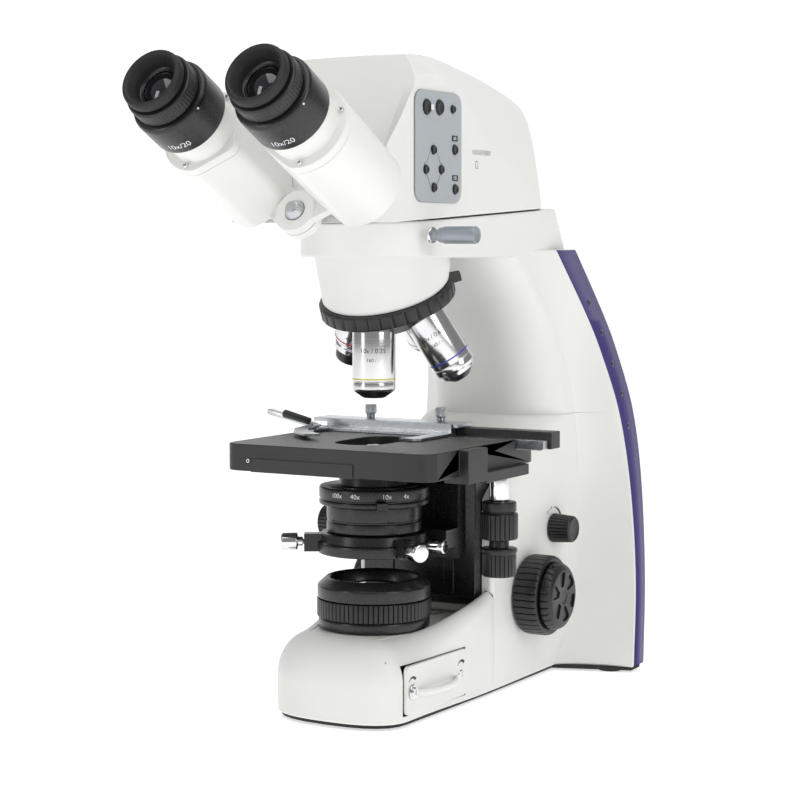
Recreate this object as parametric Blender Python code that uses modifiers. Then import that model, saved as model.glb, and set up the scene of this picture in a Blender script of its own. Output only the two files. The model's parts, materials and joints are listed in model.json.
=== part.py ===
"""Compound microscope with a digital camera head, as separate sub-parts on real joints.

Metres, +Z up. The user sits at -Y and +X is the user's right hand. The origin is on the table,
at the middle of the footprint. Everything hangs from an empty on the optical axis, so the places
below are distances from that axis (X, Y) and from the table (Z).
"""
import bmesh
import bpy
import math
from mathutils import Matrix, Vector

# ---------------------------------------------------------------- driving dimensions
OPTICAL_Y = -0.0226          # the optical axis, ahead of the footprint's middle
GAP = 0.0003                 # air between touching pieces
TOP_OF_PLATE = 0.0035        # base plate with its feet

STAND_HALF = 0.048           # half width of the column and of the arm
LEDGE_Z = 0.169              # top of the lower stand
SHOULDER_Z = 0.277           # top of the wings
ARM_UNDERSIDE_Z = 0.2725
SEAM_SLOPE = 0.0563          # the head's seat rises to the rear, as a slope
SEAM_AT_AXIS_Z = 0.2958

FOCUS_AXIS_Y = 0.112
FOCUS_AXIS_Z = 0.0575
DIMMER_Y = 0.148
DIMMER_Z = 0.0955

STAGE_WIDTH = 0.140
STAGE_FRONT_Y = -0.057
STAGE_REAR_Y = 0.078
STAGE_TOP_Z = 0.163
STAGE_THICKNESS = 0.016
DRIVE_X = 0.064
DRIVE_Y = 0.040

FIELD_BOTTOM_Z = 0.0513
CONDENSER_Z = 0.096          # bottom of the condenser's fork
SCREW_Z = 0.102

TURRET_TILT = math.radians(23.5)
APEX_Z = 0.2848              # where the turret's axis meets the optical axis
SHOULDER_REACH = 0.0571      # from the apex to an objective's shoulder
OBJECTIVE_RADIUS = 0.0129

TUBE_TILT = math.radians(28)
RIM_Y = -0.1748
RIM_Z = 0.3679
HALF_PUPIL_DISTANCE = 0.033
HINGE_DROP = 0.019           # hinge axis below the plane of the eyepiece axes
HINGE_RADIUS = math.hypot(HALF_PUPIL_DISTANCE, HINGE_DROP)
WEB_ANGLE = math.atan2(HINGE_DROP, HALF_PUPIL_DISTANCE)

PANEL_FACE_X = 0.0492
SMOOTH_STEPS = 24
SMALL_STEPS = 12


# ---------------------------------------------------------------- scene and materials
def clear_scene():
    for item in list(bpy.data.objects):
        bpy.data.objects.remove(item, do_unlink=True)


def new_collection(name):
    collection = bpy.data.collections.new(name)
    bpy.context.scene.collection.children.link(collection)
    return collection


def new_material(name, colour, roughness, metallic=0.0):
    material = bpy.data.materials.new(name)
    material.use_nodes = True
    shader = material.node_tree.nodes["Principled BSDF"]
    shader.inputs["Base Color"].default_value = (*colour, 1.0)
    shader.inputs["Roughness"].default_value = roughness
    shader.inputs["Metallic"].default_value = metallic
    return material


FINISHES = {
    "white_paint": ((0.80, 0.80, 0.77), 0.45, 0.0),
    "black_metal": ((0.020, 0.020, 0.022), 0.40, 0.6),
    "black_plastic": ((0.018, 0.018, 0.020), 0.45, 0.0),
    "chrome": ((0.80, 0.80, 0.80), 0.12, 1.0),
    "grey_metal": ((0.45, 0.47, 0.50), 0.30, 1.0),
    "grey_panel": ((0.42, 0.45, 0.47), 0.40, 0.0),
    "indigo_strip": ((0.035, 0.028, 0.180), 0.40, 0.0),
    "glass": ((0.75, 0.82, 0.85), 0.03, 0.0),
    "base_rubber": ((0.015, 0.015, 0.015), 0.85, 0.0),
}


def add_object(name, mesh, finish, parent, location=(0, 0, 0), rotation=(0, 0, 0)):
    """A named sub-part with a material of its own."""
    part = bpy.data.objects.new(name, mesh)
    PARTS.objects.link(part)
    part.parent = parent
    part.location = location
    part.rotation_euler = rotation
    part.data.materials.append(new_material(name, *FINISHES[finish]))
    return part


def add_empty(name, parent, location=(0, 0, 0), rotation=(0, 0, 0)):
    empty = bpy.data.objects.new(name, None)
    PARTS.objects.link(empty)
    empty.empty_display_size = 0.01
    empty.parent = parent
    empty.location = location
    empty.rotation_euler = rotation
    return empty


def as_tool(part):
    """Turn an object into a hidden cutter."""
    part.hide_render = True
    part.display_type = "WIRE"
    PARTS.objects.unlink(part)
    CUTTERS.objects.link(part)
    return part


def boolean(part, tool, operation="DIFFERENCE"):
    modifier = part.modifiers.new(operation.lower(), "BOOLEAN")
    modifier.operation = operation
    modifier.object = as_tool(tool)
    return part


# ---------------------------------------------------------------- shape helpers
def mesh_from_bmesh(name, form):
    bmesh.ops.recalc_face_normals(form, faces=form.faces)
    mesh = bpy.data.meshes.new(name)
    form.to_mesh(mesh)
    form.free()
    return mesh


def block(name, low, high, finish, parent, bevel=0.0, rotation=(0, 0, 0)):
    """A box between two corners, with rounded edges if bevel is given."""
    low, high = Vector(low), Vector(high)
    form = bmesh.new()
    bmesh.ops.create_cube(form, size=1.0, matrix=Matrix.Diagonal((*(high - low), 1.0)))
    part = add_object(name, mesh_from_bmesh(name, form), finish, parent, (low + high) / 2, rotation)
    if bevel:
        modifier = part.modifiers.new("round", "BEVEL")
        modifier.width = bevel
        modifier.segments = 2
        modifier.limit_method = "ANGLE"
    return part


def turned(name, profile, finish, parent, location=(0, 0, 0), rotation=(0, 0, 0), steps=SMOOTH_STEPS):
    """Turn a profile of (radius, height) points, listed down the outer side, about local Z."""
    on_axis = profile[0][0] == 0 and profile[-1][0] == 0
    count = len(profile)
    edges = [(i, i + 1) for i in range(count - 1)]
    if not on_axis:
        edges.append((count - 1, 0))
    mesh = bpy.data.meshes.new(name)
    mesh.from_pydata([(radius, 0, height) for radius, height in profile], edges, [])
    part = add_object(name, mesh, finish, parent, location, rotation)
    screw = part.modifiers.new("turn", "SCREW")
    screw.axis = "Z"
    screw.steps = steps
    screw.render_steps = steps
    screw.use_merge_vertices = True
    screw.merge_threshold = 0.00001
    screw.use_smooth_shade = True
    return part


def cylinder(name, radius, bottom, top, finish, parent, location=(0, 0, 0), rotation=(0, 0, 0), steps=SMALL_STEPS):
    profile = [(0, top), (radius, top), (radius, bottom), (0, bottom)]
    return turned(name, profile, finish, parent, location, rotation, steps)


def flat_outline(name, outlines, thickness, finish, parent, location=(0, 0, 0), rotation=(0, 0, 0)):
    """A flat plate: a filled 2D outline, with any holes after it, extruded both ways from its middle."""
    curve = bpy.data.curves.new(name, "CURVE")
    curve.dimensions = "2D"
    curve.fill_mode = "BOTH"
    curve.extrude = thickness / 2
    for points in outlines:
        spline = curve.splines.new("POLY")
        spline.points.add(len(points) - 1)
        for point, (x, y) in zip(spline.points, points):
            point.co = (x, y, 0, 1)
        spline.use_cyclic_u = True
    guide = bpy.data.objects.new(name + "_outline", curve)
    PARTS.objects.link(guide)
    bpy.context.view_layer.update()
    mesh = bpy.data.meshes.new_from_object(guide.evaluated_get(bpy.context.evaluated_depsgraph_get()))
    bpy.data.objects.remove(guide, do_unlink=True)
    form = bmesh.new()
    form.from_mesh(mesh)
    bmesh.ops.remove_doubles(form, verts=form.verts, dist=0.00001)
    return add_object(name, mesh_from_bmesh(name, form), finish, parent, location, rotation)


def loft(name, sections, finish, parent, location=(0, 0, 0)):
    """Skin a stack of closed outlines, each a list of as many (x, y, z) points."""
    form = bmesh.new()
    rings = [[form.verts.new(point) for point in section] for section in sections]
    count = len(rings[0])
    for lower, upper in zip(rings, rings[1:]):
        for i in range(count):
            j = (i + 1) % count
            form.faces.new((lower[i], lower[j], upper[j], upper[i]))
    form.faces.new(reversed(rings[0]))
    form.faces.new(rings[-1])
    return add_object(name, mesh_from_bmesh(name, form), finish, parent, location)


def both_sides(half):
    """Close a half outline, given from front centre to back centre, with its mirror image."""
    inner = half[1:-1]
    return half + [(-x, *rest) for x, *rest in reversed(inner)]


def smooth_value(stations, at):
    """Read a smooth curve through (position, value) stations, by cubic Hermite pieces."""
    places = [place for place, _ in stations]
    values = [value for _, value in stations]
    last = len(stations) - 1

    def slope(i):
        a, b = max(i - 1, 0), min(i + 1, last)
        return (values[b] - values[a]) / (places[b] - places[a])

    at = min(max(at, places[0]), places[-1])
    i = next(k for k in range(last) if at <= places[k + 1])
    span = places[i + 1] - places[i]
    t = (at - places[i]) / span
    rise = values[i + 1] - values[i]
    start, end = slope(i) * span, slope(i + 1) * span
    return values[i] + t * (start + t * (3 * rise - 2 * start - end + t * (start + end - 2 * rise)))


def seam_z(y):
    return SEAM_AT_AXIS_Z + SEAM_SLOPE * y


# ---------------------------------------------------------------- stand
CREASE_Y = [(0, 0.150), (0.024, 0.167), (0.060, 0.180), (0.120, 0.187), (0.184, 0.176), (0.231, 0.146), (0.277, 0.110)]
EDGE_X = [(0, 0.097), (0.060, 0.088), (0.120, 0.080), (0.170, 0.073), (0.211, 0.065), (0.235, 0.0595), (0.277, 0.052)]
EDGE_Y = [(0, 0.168), (0.060, 0.191), (0.120, 0.199), (0.170, 0.195), (0.211, 0.182), (0.235, 0.171), (0.277, 0.141)]
EDGE_DEPTH = [(0, 0.018), (0.072, 0.018), (0.171, 0.025), (0.277, 0.031)]
NOSE_Y = [(0.169, 0.140), (0.197, 0.132), (0.224, 0.115), (0.245, 0.095), (0.277, 0.056)]
NOSE_RADIUS = 0.034
STRIP_INSET = 0.0028
BACK_BULGE = 0.006


def wing_half(z, inset=0.0):
    """Half outline of a wing and the back at height z, from the crease to the back centre."""
    crease = smooth_value(CREASE_Y, z) + inset
    edge_x = smooth_value(EDGE_X, z) - inset
    edge_y = smooth_value(EDGE_Y, z) + inset
    back_y = smooth_value(EDGE_Y, z) + smooth_value(EDGE_DEPTH, z) - inset
    side = STAND_HALF - inset
    middle = (side + 0.4 * (edge_x - side), crease + 0.55 * (edge_y - crease), z)
    points = [(side, crease, z), middle, (edge_x, edge_y, z)]
    if not inset:
        points += [
            (edge_x, edge_y + 0.001, z),
            (edge_x - STRIP_INSET, edge_y + 0.001, z),
            (edge_x - STRIP_INSET, back_y - 0.001, z),
            (edge_x, back_y - 0.001, z),
        ]
    points += [(edge_x, back_y, z), (edge_x - 0.008, back_y + 0.003, z), (0, back_y + BACK_BULGE, z)]
    return points


def lower_front_y(z):
    """The lower stand's front leans back above the focus carrier's rail, clear of the stage."""
    return 0.0623 + 0.065 * max((z - 0.124) / (LEDGE_Z - 0.124), 0.0)


LOWER_LEVELS = [TOP_OF_PLATE + GAP, 0.024, 0.060, 0.124, 0.146, LEDGE_Z - GAP / 2]
UPPER_LEVELS = [LEDGE_Z + GAP / 2, 0.197, 0.224, 0.245, 0.262, SHOULDER_Z]


def build_lower_stand(parent):
    sections = []
    hollow = []
    for z in LOWER_LEVELS:
        front = lower_front_y(z)
        sections.append(both_sides([(0, front, z), (0.044, front, z), (STAND_HALF, front + 0.004, z)] + wing_half(z)))
    for z in (-0.001, 0.024, 0.060, 0.110, 0.160):
        front = max(lower_front_y(z) + 0.008, 0.104)
        hollow.append(both_sides([(0, front, z), (0.030, front, z), (0.042, front, z)] + wing_half(z, 0.006)))
    stand = loft("stand_lower", sections, "white_paint", parent)
    boolean(stand, loft("stand_lower_hollow", hollow, "white_paint", parent))
    slot = block("carrier_slot", (-0.0406, 0.050, 0.056), (0.0406, 0.0965, 0.200), "white_paint", parent)
    boolean(stand, slot)
    bore = cylinder("focus_bore", 0.0056, -0.06, 0.06, "white_paint", parent,
                    (0, FOCUS_AXIS_Y, FOCUS_AXIS_Z), (0, math.pi / 2, 0))
    boolean(stand, bore)
    inlet = block("inlet_window", (-0.0142, 0.150, 0.0158), (0.0142, 0.250, 0.0382), "white_paint", parent)
    boolean(stand, inlet)
    dimmer = cylinder("dimmer_bore", 0.0033, 0.030, 0.060, "white_paint", parent,
                      (0, DIMMER_Y, DIMMER_Z), (0, math.pi / 2, 0))
    boolean(stand, dimmer)


def build_upper_stand(parent):
    sections = []
    hollow = []
    for z in UPPER_LEVELS:
        nose = smooth_value(NOSE_Y, z)
        straight = STAND_HALF - NOSE_RADIUS
        crease = smooth_value(CREASE_Y, z)
        reach = min(NOSE_RADIUS, crease - nose - 0.001)
        arc = [(straight + NOSE_RADIUS * math.sin(a), nose + reach * (1 - math.cos(a)), z)
               for a in (math.radians(18 * k) for k in range(6))]
        sections.append(both_sides([(0, nose, z)] + arc + wing_half(z)))
    for z in (0.160, 0.197, 0.224, 0.245, 0.262):
        nose = smooth_value(NOSE_Y, z) + 0.012
        hollow.append(both_sides([(0, nose, z), (0.020, nose + 0.003, z), (0.038, nose + 0.016, z)] + wing_half(z, 0.007)))
    stand = loft("stand_upper", sections, "white_paint", parent)
    boolean(stand, loft("stand_upper_hollow", hollow, "white_paint", parent))


def build_edge_strips(parent):
    for side, label in ((1, "right"), (-1, "left")):
        sections = []
        for z in LOWER_LEVELS + UPPER_LEVELS[1:]:
            x = smooth_value(EDGE_X, z)
            front = smooth_value(EDGE_Y, z) + 0.001 + GAP
            back = smooth_value(EDGE_Y, z) + smooth_value(EDGE_DEPTH, z) - 0.001 - GAP
            inner, outer = x - STRIP_INSET + GAP, x + GAP
            corners = [(outer, front), (outer, back), (inner, back), (inner, front)]
            sections.append([(side * cx, cy, z) for cx, cy in corners])
        loft("edge_strip_" + label, sections, "indigo_strip", parent)


def base_half(z, inset, front_only=True):
    """Half outline of the base front: a squared-off nose, then the sides back to the stand."""
    half_width, nose, start = 0.0435 - inset, 0.028 - inset, -0.030
    power = 2 / 2.6
    points = []
    for k in range(7):
        a = math.radians(15 * k)
        points.append((half_width * math.sin(a) ** power, start - nose * math.cos(a) ** power, z))
    side = STAND_HALF - inset
    if front_only:
        return points + [(side - 0.001, 0.0600, z), (side - 0.004, 0.0620, z), (0, 0.0620, z)]
    crease = smooth_value(CREASE_Y, 0) + inset
    edge_x, edge_y = EDGE_X[0][1] - inset, EDGE_Y[0][1] + inset
    back_y = EDGE_Y[0][1] + EDGE_DEPTH[0][1] - inset
    return points + [(side - 0.001, 0.0600, z), (side, crease, z), (edge_x, edge_y, z),
                     (edge_x, back_y, z), (edge_x - 0.008, back_y + 0.003, z), (0, back_y + BACK_BULGE, z)]


def build_base(parent):
    layers = ((TOP_OF_PLATE + GAP, 0.0005), (0.008, 0.0), (0.030, 0.0005), (0.038, 0.0025), (0.044, 0.006),
              (0.0485, 0.012), (FIELD_BOTTOM_Z - GAP, 0.018))
    front = loft("base_front", [both_sides(base_half(z, inset)) for z, inset in layers], "white_paint", parent)
    for side in (1, -1):
        ridge = [[(side * x, y, z) for y, z in ((-0.005, 0.036), (0.0619, 0.036), (0.0619, 0.066), (0.052, 0.062))]
                 for x in (0.0410, 0.0468)]
        boolean(front, loft("base_ridge", ridge, "white_paint", parent), "UNION")
    boolean(front, block("base_hollow", (-0.0350, -0.0460, -0.001), (0.0350, 0.0550, 0.0440), "white_paint", parent))
    boolean(front, cylinder("light_well", 0.024, 0.030, 0.060, "white_paint", parent, steps=SMOOTH_STEPS))
    boolean(front, block("drawer_window", (0.030, -0.0394, 0.0076), (0.060, 0.0294, 0.0374), "white_paint", parent))
    for k in range(4):
        vent = block("vent", (-0.0012, -0.012, 0.040), (0.0012, 0.012, 0.060), "white_paint", parent,
                     rotation=(0, 0, math.radians(-14)))
        vent.location.x = -0.012 + 0.008 * k
        vent.location.y = 0.0485
        boolean(front, vent)

    plate = loft("base_plate", [both_sides(base_half(z, 0.002, False)) for z in (0.0015, TOP_OF_PLATE)],
                 "base_rubber", parent)
    for x, y in ((0.028, -0.030), (-0.028, -0.030), (0.078, 0.174), (-0.078, 0.174)):
        foot = cylinder("foot", 0.008, 0.0, 0.0025, "base_rubber", parent, (x, y, 0))
        boolean(plate, foot, "UNION")

    block("power_inlet", (-0.0138, 0.172, 0.0162), (0.0138, 0.1915, 0.0378), "black_plastic", parent, 0.001)
    socket = block("inlet_socket", (-0.009, 0.178, 0.021), (0.009, 0.200, 0.033), "black_plastic", parent)
    boolean(bpy.data.objects["power_inlet"], socket)


def build_arm(parent):
    """The arm head over the stage, and the tapered mount that carries the turret."""
    def arm_half(z, front, back):
        arc = [(0.046 * math.sin(a), front + 0.044 * (1 - math.cos(a)), z)
               for a in (math.radians(15 * k) for k in range(7))]
        return arc + [(STAND_HALF, front + 0.060, z), (STAND_HALF, back - 0.030, z), (0.040, back - 0.008, z), (0, back, z)]

    def sloped(points, drop):
        return [(x, y, seam_z(y) - drop) for x, y, _ in points]

    back_low, back_high = 0.181, 0.166
    sections = [
        both_sides(arm_half(SHOULDER_Z + GAP, -0.0415, back_low)),
        sloped(both_sides(arm_half(0, -0.0420, back_high)), 0.0022),
        sloped(both_sides(arm_half(0, -0.0405, back_high)), 0.0012),
    ]
    arm = loft("arm_head", sections, "white_paint", parent)
    chin = loft("arm_chin", [both_sides([(x, min(y, 0.0550), z) for x, y, _ in arm_half(0, -0.0415, 0.15)[:-1]]
                                        + [(0, 0.0550, z)])
                             for z in (ARM_UNDERSIDE_Z, SHOULDER_Z + 0.002)], "white_paint", parent)
    boolean(arm, chin, "UNION")
    hollow = block("arm_hollow", (-0.036, 0.030, 0.283), (0.036, 0.150, 0.320), "white_paint", parent)
    boolean(arm, hollow)
    boolean(arm, cylinder("clamp_bore", 0.0028, 0.030, 0.060, "white_paint", parent, (0, -0.016, 0.2856),
                          (0, math.pi / 2, 0)))

    def ring(radius, centre, tilt):
        spin = Matrix.Rotation(tilt, 3, "X")
        return [tuple(spin @ Vector((radius * math.cos(a), radius * math.sin(a), 0)) + Vector(centre))
                for a in (math.tau * k / SMOOTH_STEPS for k in range(SMOOTH_STEPS))]

    drop = 0.0343
    foot_centre = (0, drop * math.sin(TURRET_TILT), APEX_Z - drop * math.cos(TURRET_TILT))
    middle_centre = (0, 0.0115, 0.2640)
    loft("nosepiece_mount", [
        ring(0.0387, foot_centre, TURRET_TILT),
        ring(0.0398, (0, foot_centre[1] - 0.0008, foot_centre[2] + 0.0022), TURRET_TILT),
        ring(0.0402, middle_centre, TURRET_TILT * 0.42),
        ring(0.0400, (0, 0.0096, ARM_UNDERSIDE_Z - GAP), 0.0),
    ], "white_paint", parent)


# ---------------------------------------------------------------- illumination
def build_field_unit(parent):
    profile = [(0.0270, 0.0300), (0.0340, 0.0255), (0.0342, 0.0180), (0.0300, 0.0178), (0.0300, 0.0062),
               (0.0332, 0.0060), (0.0332, 0.0), (0.0255, 0.0), (0.0255, 0.0200), (0.0262, 0.0200), (0.0262, 0.0300)]
    turned("field_mount", profile, "black_metal", parent, (0, 0, FIELD_BOTTOM_Z))
    lens = [(0, 0.0232), (0.0120, 0.0226), (0.0225, 0.0208), (0.0240, 0.0185), (0.0225, 0.0170), (0, 0.0170)]
    turned("field_lens", [(r, z + 0.0034) for r, z in lens], "glass", parent, (0, 0, FIELD_BOTTOM_Z), steps=20)
    joint = add_empty("field_ring_axis", parent, (0, 0, FIELD_BOTTOM_Z + 0.006))
    ring = [(0.0338, 0.0116), (0.0344, 0.0110), (0.0344, 0.0008), (0.0338, 0.0003), (0.0303, 0.0003), (0.0303, 0.0116)]
    turned("field_ring", ring, "black_metal", joint)


def build_lamp_drawer(parent):
    cover = block("lamp_drawer", (0.0440, -0.0390, 0.0080), (0.0462, 0.0290, 0.0370), "white_paint", parent)
    tray = block("drawer_tray", (-0.0200, -0.0240, 0.0085), (0.0442, 0.0240, 0.0120), "white_paint", parent)
    boolean(cover, tray, "UNION")
    tower = cylinder("led_tower", 0.0120, 0.0110, 0.0340, "white_paint", parent, steps=20)
    boolean(cover, tower, "UNION")
    bow = [(0.0, -0.0240), (0.0055, -0.0190), (0.0072, 0.0), (0.0055, 0.0190), (0.0, 0.0240), (-0.0010, 0.0240),
           (-0.0010, 0.0190), (0.0030, 0.0165), (0.0045, 0.0), (0.0030, -0.0165), (-0.0010, -0.0190),
           (-0.0010, -0.0240)]
    bail = flat_outline("drawer_bail", [bow], 0.0040, "white_paint", parent, (0.0462, -0.0050, 0.0200))
    boolean(cover, bail, "UNION")
    for y in (-0.0330, 0.0230):
        boolean(cover, cylinder("screw_hole", 0.0020, 0.0400, 0.0480, "white_paint", parent, (0, y, 0.0215),
                                (0, math.pi / 2, 0)))
    for label, y in (("front", -0.0330), ("rear", 0.0230)):
        joint = add_empty("drawer_screw_axis_" + label, parent, (0.0462, y, 0.0215), (0, math.pi / 2, 0))
        profile = [(0, 0.0018), (0.0028, 0.0018), (0.0032, 0.0014), (0.0032, 0.0003), (0.0016, 0.0003),
                   (0.0016, -0.0035), (0, -0.0035)]
        turned("drawer_screw_" + label, profile, "chrome", joint, steps=SMALL_STEPS)


def build_side_controls(parent):
    joint = add_empty("dimmer_axis", parent, (STAND_HALF, DIMMER_Y, DIMMER_Z), (0, math.pi / 2, 0))
    profile = [(0, 0.0155), (0.0076, 0.0155), (0.0086, 0.0145), (0.0096, 0.0010), (0.0090, 0.0004),
               (0.0030, 0.0004), (0.0030, -0.0040), (0, -0.0040)]
    turned("brightness_knob", profile, "black_plastic", joint, steps=20)
    joint = add_empty("head_clamp_axis", parent, (STAND_HALF, -0.016, 0.2856), (0, math.pi / 2, 0))
    profile = [(0, 0.0300), (0.0044, 0.0300), (0.0050, 0.0292), (0.0050, 0.0085), (0.0042, 0.0072),
               (0.0025, 0.0068), (0.0025, -0.0060), (0, -0.0060)]
    turned("head_clamp", profile, "grey_metal", joint)


# ---------------------------------------------------------------- focus, condenser and stage
def build_focus(parent):
    carrier = block("focus_carrier", (-0.0400, 0.0550, 0.0620), (0.0400, 0.0950, 0.1385), "black_metal", parent)
    table = block("stage_table", (-0.0400, 0.0280, 0.1380), (0.0400, 0.0920, 0.1467), "black_metal", parent)
    boolean(carrier, table, "UNION")
    bracket = block("knob_bracket", (-0.0395, 0.0440, 0.0960), (-0.0336, 0.0560, 0.1120), "black_metal", parent)
    boolean(carrier, bracket, "UNION")

    joint = add_empty("coarse_axis", parent, (0, FOCUS_AXIS_Y, FOCUS_AXIS_Z), (0, math.pi / 2, 0))
    face, root, rim, tube, bore = 0.0660, 0.0490, 0.0255, 0.0052, 0.0034
    side = [(bore, face - 0.003), (0.0200, face - 0.003), (0.0205, face), (rim - 0.0012, face), (rim, face - 0.0012),
            (rim, root + 0.0012), (rim - 0.0012, root), (tube, root)]
    turned("coarse_focus", side + [(r, -z) for r, z in reversed(side)], "black_plastic", joint)
    side = [(0, 0.0735), (0.0170, 0.0735), (0.0200, 0.0720), (0.0214, 0.0690), (0.0214, face + 0.0004),
            (0.0195, face + 0.0004), (0.0195, face - 0.0027), (0.0031, face - 0.0027)]
    turned("fine_focus", side + [(r, -z) for r, z in reversed(side)], "black_plastic", joint)


def build_condenser(parent):
    ring = [(0.0335, 0.0120), (0.0340, 0.0115), (0.0340, 0.0005), (0.0335, 0.0), (0.0262, 0.0), (0.0262, 0.0120)]
    fork = turned("condenser_fork", ring, "black_metal", parent, (0, 0, CONDENSER_Z))
    rear = block("fork_rear", (-0.0330, 0.0300, CONDENSER_Z), (0.0330, 0.0547, CONDENSER_Z + 0.0115), "black_metal", parent)
    boolean(fork, rear, "UNION")
    slide = block("fork_slide", (-0.0330, 0.0450, CONDENSER_Z - 0.008), (0.0330, 0.0546, 0.1335), "black_metal", parent)
    boolean(fork, slide, "UNION")
    for angle in (-30, -150):
        boss = block("screw_boss", (-0.005, -0.004, -0.0055), (0.005, 0.004, 0.0055), "black_metal", parent,
                     rotation=(0, 0, math.radians(angle)))
        boss.location = (0.0365 * math.cos(math.radians(angle)), 0.0365 * math.sin(math.radians(angle)), SCREW_Z)
        boolean(fork, boss, "UNION")
    for angle in (-30, -150, 2):
        hole = cylinder("screw_bore", 0.0018, 0.020, 0.050, "black_metal", parent, (0, 0, SCREW_Z),
                        (0, math.pi / 2, math.radians(angle)))
        boolean(fork, hole)

    body = [(0, 0.0620), (0.0090, 0.0620), (0.0120, 0.0575), (0.0125, 0.0500), (0.0205, 0.0485), (0.0210, 0.0402),
            (0.0270, 0.0402), (0.0270, 0.0284), (0.0285, 0.0280), (0.0285, 0.0122), (0.0240, 0.0122), (0.0240, 0.0),
            (0.0150, 0.0), (0.0110, 0.0300), (0, 0.0300)]
    turned("condenser_body", body, "black_metal", parent, (0, 0, CONDENSER_Z + 0.0008))
    lens = [(0, 0.0015), (0.0040, 0.0012), (0.0078, 0.0003), (0.0078, 0), (0, 0)]
    turned("condenser_lens", lens, "glass", parent, (0, 0, CONDENSER_Z + 0.0631), steps=SMALL_STEPS)

    joint = add_empty("aperture_axis", parent, (0, 0, CONDENSER_Z + 0.0292))
    ring = [(0.0324, 0.0112), (0.0330, 0.0106), (0.0330, 0.0006), (0.0324, 0.0003), (0.0273, 0.0003), (0.0273, 0.0112)]
    ring = turned("aperture_ring", ring, "black_metal", joint)
    tab = block("aperture_tab", (-0.0032, -0.0400, 0.0010), (0.0032, -0.0300, 0.0050), "black_metal", joint)
    boolean(ring, tab, "UNION")

    for label, angle in (("right", -30), ("left", -150)):
        joint = add_empty("centring_axis_" + label, parent, (0, 0, SCREW_Z), (0, math.pi / 2, math.radians(angle)))
        profile = [(0, 0.0560), (0.0049, 0.0560), (0.0055, 0.0554), (0.0055, 0.0466), (0.0049, 0.0460),
                   (0.0016, 0.0460), (0.0016, 0.0252), (0, 0.0252)]
        turned("centring_screw_" + label, profile, "chrome", joint, steps=SMALL_STEPS)
    joint = add_empty("condenser_clamp_axis", parent, (0, 0, SCREW_Z), (0, math.pi / 2, math.radians(2)))
    profile = [(0, 0.0480), (0.0038, 0.0480), (0.0042, 0.0474), (0.0042, 0.0380), (0.0016, 0.0375), (0.0016, 0.0252),
               (0, 0.0252)]
    turned("condenser_clamp", profile, "chrome", joint, steps=SMALL_STEPS)

    joint = add_empty("condenser_knob_axis", parent, (-0.0398, 0.0500, 0.1040), (0, -math.pi / 2, 0))
    profile = [(0, 0.0260), (0.0100, 0.0260), (0.0110, 0.0250), (0.0110, 0.0130), (0.0040, 0.0125), (0.0040, 0.0),
               (0, 0.0)]
    turned("condenser_knob", profile, "black_plastic", joint, steps=SMALL_STEPS)


def rounded_rectangle(low, high, radius, steps=3):
    """Corner points of a rectangle with round corners, anticlockwise."""
    (x0, y0), (x1, y1) = low, high
    centres = ((x1 - radius, y0 + radius, -90), (x1 - radius, y1 - radius, 0),
               (x0 + radius, y1 - radius, 90), (x0 + radius, y0 + radius, 180))
    points = []
    for cx, cy, start in centres:
        for k in range(steps + 1):
            a = math.radians(start + 90 * k / steps)
            points.append((cx + radius * math.cos(a), cy + radius * math.sin(a)))
    return points


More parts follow.
